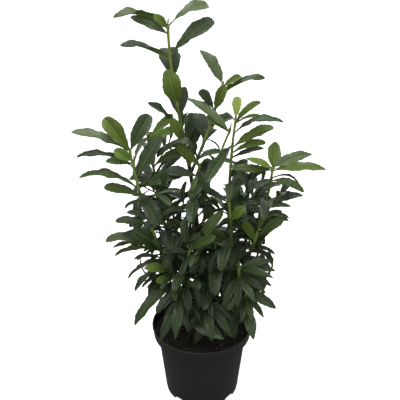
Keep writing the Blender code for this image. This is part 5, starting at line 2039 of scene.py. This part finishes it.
@dataclass
class Compost:
    """The compost: a crumbly bed with loose crumbs, bark chips, root fibres and pale grit on it."""

    palette: Palette
    growth: Growth
    sides: int = 150
    rings: int = 46
    swell: float = 2.6 * MM
    crumbs: int = 900
    chips: int = 90
    fibres: int = 70
    grit: int = 130
    stem_room: float = 9 * MM

    def bed_height(self, x: float, y: float) -> float:
        """The bed's height at a place, lumpy at three scales and a little lower at the wall."""
        spot = Vector((x, y, 0))
        lumps = noise.noise(spot * 45) * 0.6 + noise.noise(spot * 140) * 0.3 + noise.noise(spot * 380) * 0.16
        edge = (math.hypot(x, y) / self.bed_radius()) ** 6
        return COMPOST_TOP + self.swell * (lumps - 0.15 - 0.5 * edge)

    def bed_radius(self) -> float:
        """The bed's radius, just inside the pot's wall."""
        return NECK_RADIUS - POT_WALL + 1.6 * MM

    def build(self) -> None:
        """Makes the bed and what lies on it."""
        self.build_bed()
        chance = random.Random("loose bits")
        self.scatter("compost_crumbs", "compost_crumb", self.crumbs, (0.7, 2.6), (1, 1, 0.8), chance)
        self.scatter("bark_chips", "bark_chip", self.chips, (2.0, 5.5), (1, 0.45, 0.22), chance)
        self.scatter("pale_grit", "pale_grit", self.grit, (0.45, 1.15), (1, 1, 0.9), chance)
        self.build_fibres(chance)

    def build_bed(self) -> None:
        """The bed: its fine top, and plain sides that follow the pot's inner wall down to its floor."""
        neck = POT_HEIGHT - COLLAR_HEIGHT
        foot = ARCH_HEIGHT + 2 * MM
        clear = POT_WALL + 2 * GAP
        low_radius = FOOT_RADIUS - ARCH_DEPTH / 2 - clear - 2 * MM
        profile = [(0, POT_FLOOR + GAP), (low_radius, POT_FLOOR + GAP), (low_radius, foot)]
        profile += [(pot_outer_radius(foot) - clear, foot + 2 * MM), (NECK_RADIUS - clear, neck + 2 * MM)]
        profile += [(self.bed_radius() * (1 - i / self.rings), COMPOST_TOP) for i in range(self.rings)]
        profile.append((0, COMPOST_TOP))
        points = turned_points(profile, self.sides)
        for point in points:
            if point[2] > COMPOST_TOP - GAP:
                point[2] = self.bed_height(point[0], point[1])
        pile = MeshPile()
        pile.add_skin(points, *ring_faces(len(profile) - 2, self.sides), "damp_compost")
        settle(pile.piece("compost_bed", self.palette, 80), "compost", "compost")

    def spot(self, chance: random.Random, size: float) -> Vector:
        """A seeded place on the bed that keeps clear of the stems' feet.

        Args:
            chance: The seeded chance.
            size: How large the bit is.

        Returns:
            The place, on the bed's surface.
        """
        feet = [self.growth.paths[shoot.name][0] for shoot in SHOOTS if not shoot.parent]
        while True:
            radius = (self.bed_radius() - size * 1.2) * math.sqrt(chance.random())
            turn = chance.uniform(0, 2 * math.pi)
            x, y = radius * math.cos(turn), radius * math.sin(turn)
            if all(math.hypot(x - foot.x, y - foot.y) > self.stem_room + size for foot in feet):
                return Vector((x, y, self.bed_height(x, y)))

    def scatter(
        self, name: str, finish: str, count: int, sizes: Pair, shape: Place, chance: random.Random
    ) -> None:
        """Strews small uneven lumps over the bed as one piece.

        Args:
            name: The piece's name.
            finish: Its finish.
            count: How many there are.
            sizes: The least and the largest radius, in millimetres.
            shape: How long they are along their own axes.
            chance: The seeded chance.
        """
        template = bpy.data.meshes.new("lump")
        fill_lump(template)
        base = np.array([tuple(v.co) for v in template.vertices])
        faces = np.array([tuple(p.vertices) for p in template.polygons])
        bpy.data.meshes.remove(template)
        pile = MeshPile()
        for _ in range(count):
            size = sizes[0] + (sizes[1] - sizes[0]) * chance.random() ** 2.2
            uneven = np.array([chance.uniform(0.72, 1.2) for _ in range(len(base))])[:, None]
            axis = (chance.uniform(-0.4, 0.4), chance.uniform(-0.4, 0.4), 1)
            turn = np.array(Quaternion(axis, chance.uniform(0, 6.28)).to_matrix())
            spot = self.spot(chance, size * MM)
            lump = (base * uneven * np.array(shape) * (size * MM)) @ turn.T
            rise = np.array((0, 0, size * MM * shape[2] * 0.25))
            pile.add(lump + np.array(spot) + rise, [(faces, finish)])
        settle(pile.piece(name, self.palette, 30), "compost")

    def build_fibres(self, chance: random.Random) -> None:
        """Fine root fibres and bits of straw, curved over the bed."""
        pile = MeshPile()
        for _ in range(self.fibres):
            reach = chance.uniform(4, 11) * MM
            turn = chance.uniform(0, 2 * math.pi)
            flat = Vector((math.cos(turn), math.sin(turn), 0))
            bow = Vector((-flat.y, flat.x, 0)) * (reach * chance.uniform(-0.5, 0.5))
            start = self.spot(chance, reach)
            end = start + flat * reach
            end.z = self.bed_height(end.x, end.y)
            rise = Vector((0, 0, reach * 0.18 + 0.6 * MM))
            low = start.lerp(end, 0.33) + bow + rise
            high = start.lerp(end, 0.66) + bow + rise
            path = bent_path(start, low, high, end)
            fibre = StemSkin(path, 0, 1, lambda share: 0.22 * MM, sides=4, step=1.6 * MM)
            pile.add_skin(*fibre.mesh(), "root_fibre")
        settle(pile.piece("root_fibres", self.palette), "compost")


def fill_lump(mesh: bpy.types.Mesh) -> None:
    """Fills a mesh with a twenty-faced ball of radius 1."""
    shape = bmesh.new()
    bmesh.ops.create_icosphere(shape, subdivisions=1, radius=1)
    shape.to_mesh(mesh)
    shape.free()


# The stage


CROWN_MIDDLE = 0.42


@dataclass(frozen=True)
class SoftLight:
    """A soft square light that looks at the crown.

    The size is its side's length and the energy its power in watts, and in_gloss says whether shiny
    leaves mirror it.
    """

    name: str
    place: Place
    size: float
    energy: float
    in_gloss: bool = True

    def add(self) -> None:
        """Adds the light."""
        light = bpy.data.lights.new(self.name, "AREA")
        light.size = self.size
        light.energy = self.energy
        lamp = bpy.data.objects.new(self.name, light)
        lamp.location = self.place
        towards = Vector((0, 0, CROWN_MIDDLE)) - Vector(self.place)
        lamp.rotation_euler = towards.to_track_quat("-Z", "Y").to_euler()
        lamp.visible_glossy = self.in_gloss
        bpy.context.scene.collection.objects.link(lamp)


LIGHTS = (
    SoftLight("key", (-0.25, -0.35, 2.3), 1.5, 24.0),
    SoftLight("fill", (0.3, -2.4, 1.3), 1.6, 14.0, in_gloss=False),
    SoftLight("back", (0.2, 1.7, 0.8), 1.3, 6.0),
)


@dataclass
class Stage:
    """The pale floor and backdrop, the soft lights and the camera at the photograph's place."""

    floor_size: float = 14.0
    floor_sides: int = 64
    drop: float = 0.4 * MM

    def build(self) -> None:
        """Makes the floor, the backdrop, the lights and the camera."""
        scene = bpy.context.scene
        scene.view_settings.view_transform = "Standard"
        self.build_floor()
        self.build_world()
        for light in LIGHTS:
            light.add()
        camera = bpy.data.cameras.new("photograph")
        camera.sensor_fit = "HORIZONTAL"
        camera.lens = FOCAL_PIXELS / PICTURE_SIZE * camera.sensor_width
        mount = bpy.data.objects.new("photograph", camera)
        mount.location = EYE
        mount.rotation_euler = (math.pi / 2 - LOOK_DOWN, 0, 0)
        scene.collection.objects.link(mount)
        scene.camera = mount

    def build_floor(self) -> None:
        """A floor that runs up into a backdrop all round, seen by the camera alone."""
        rings = [(0.4 * self.floor_size, -self.drop), (0.5 * self.floor_size, 0.35)]
        rings += [(0.55 * self.floor_size, 2.0), (0.5 * self.floor_size, 6.0), (0.2 * self.floor_size, 9.0)]
        profile = [(0, -self.drop), *rings, (0, 10.0)]
        quads, caps = ring_faces(len(rings), self.floor_sides)
        faces = [*quads[:, ::-1].tolist(), *caps[:, ::-1].tolist()]
        mesh = bpy.data.meshes.new("floor")
        mesh.from_pydata(turned_points(profile, self.floor_sides), [], faces)
        mesh.shade_smooth()
        mesh.materials.append(FloorFinish().material())
        floor = bpy.data.objects.new("floor", mesh)
        floor.visible_diffuse = False
        floor.visible_glossy = False
        floor.visible_shadow = False
        bpy.context.scene.collection.objects.link(floor)

    def build_world(self) -> None:
        """A soft sky: bright overhead, dimmer at the horizon and dark below."""
        world = bpy.data.worlds.new("soft_sky")
        world.use_nodes = True
        nodes = Nodes(world.node_tree)
        place = nodes.node("ShaderNodeTexCoord").outputs["Generated"]
        height = nodes.node("ShaderNodeSeparateXYZ", {}, {"Vector": place}).outputs["Z"]
        stops = ((0.25, (0.24, 0.24, 0.24)), (1.0, (0.85, 0.85, 0.84)))
        sky = nodes.node("ShaderNodeValToRGB", {"stops": stops}, {"Fac": height}).outputs["Color"]
        nodes.feed(nodes.tree.nodes["Background"].inputs["Color"], sky)
        bpy.context.scene.world = world


def main() -> None:
    """Grows the plant, dresses it, its pot and its compost, and sets the stage."""
    logging.basicConfig(level=logging.INFO, format="%(message)s")
    palette = Palette()
    growth = Growth()
    growth.start()
    growth.grow_leaves()
    logging.info("leaves of the solids' rule: %d", growth.count()[0])
    growth.grow_sprigs()
    growth.grow_spears()
    logging.info("leaves and sprigs in all: %d and %d", *growth.count())
    Stage().build()
    Pot(palette).build()
    Compost(palette, growth).build()
    Crown(growth, palette).build()


if __name__ == "__main__":
    main()
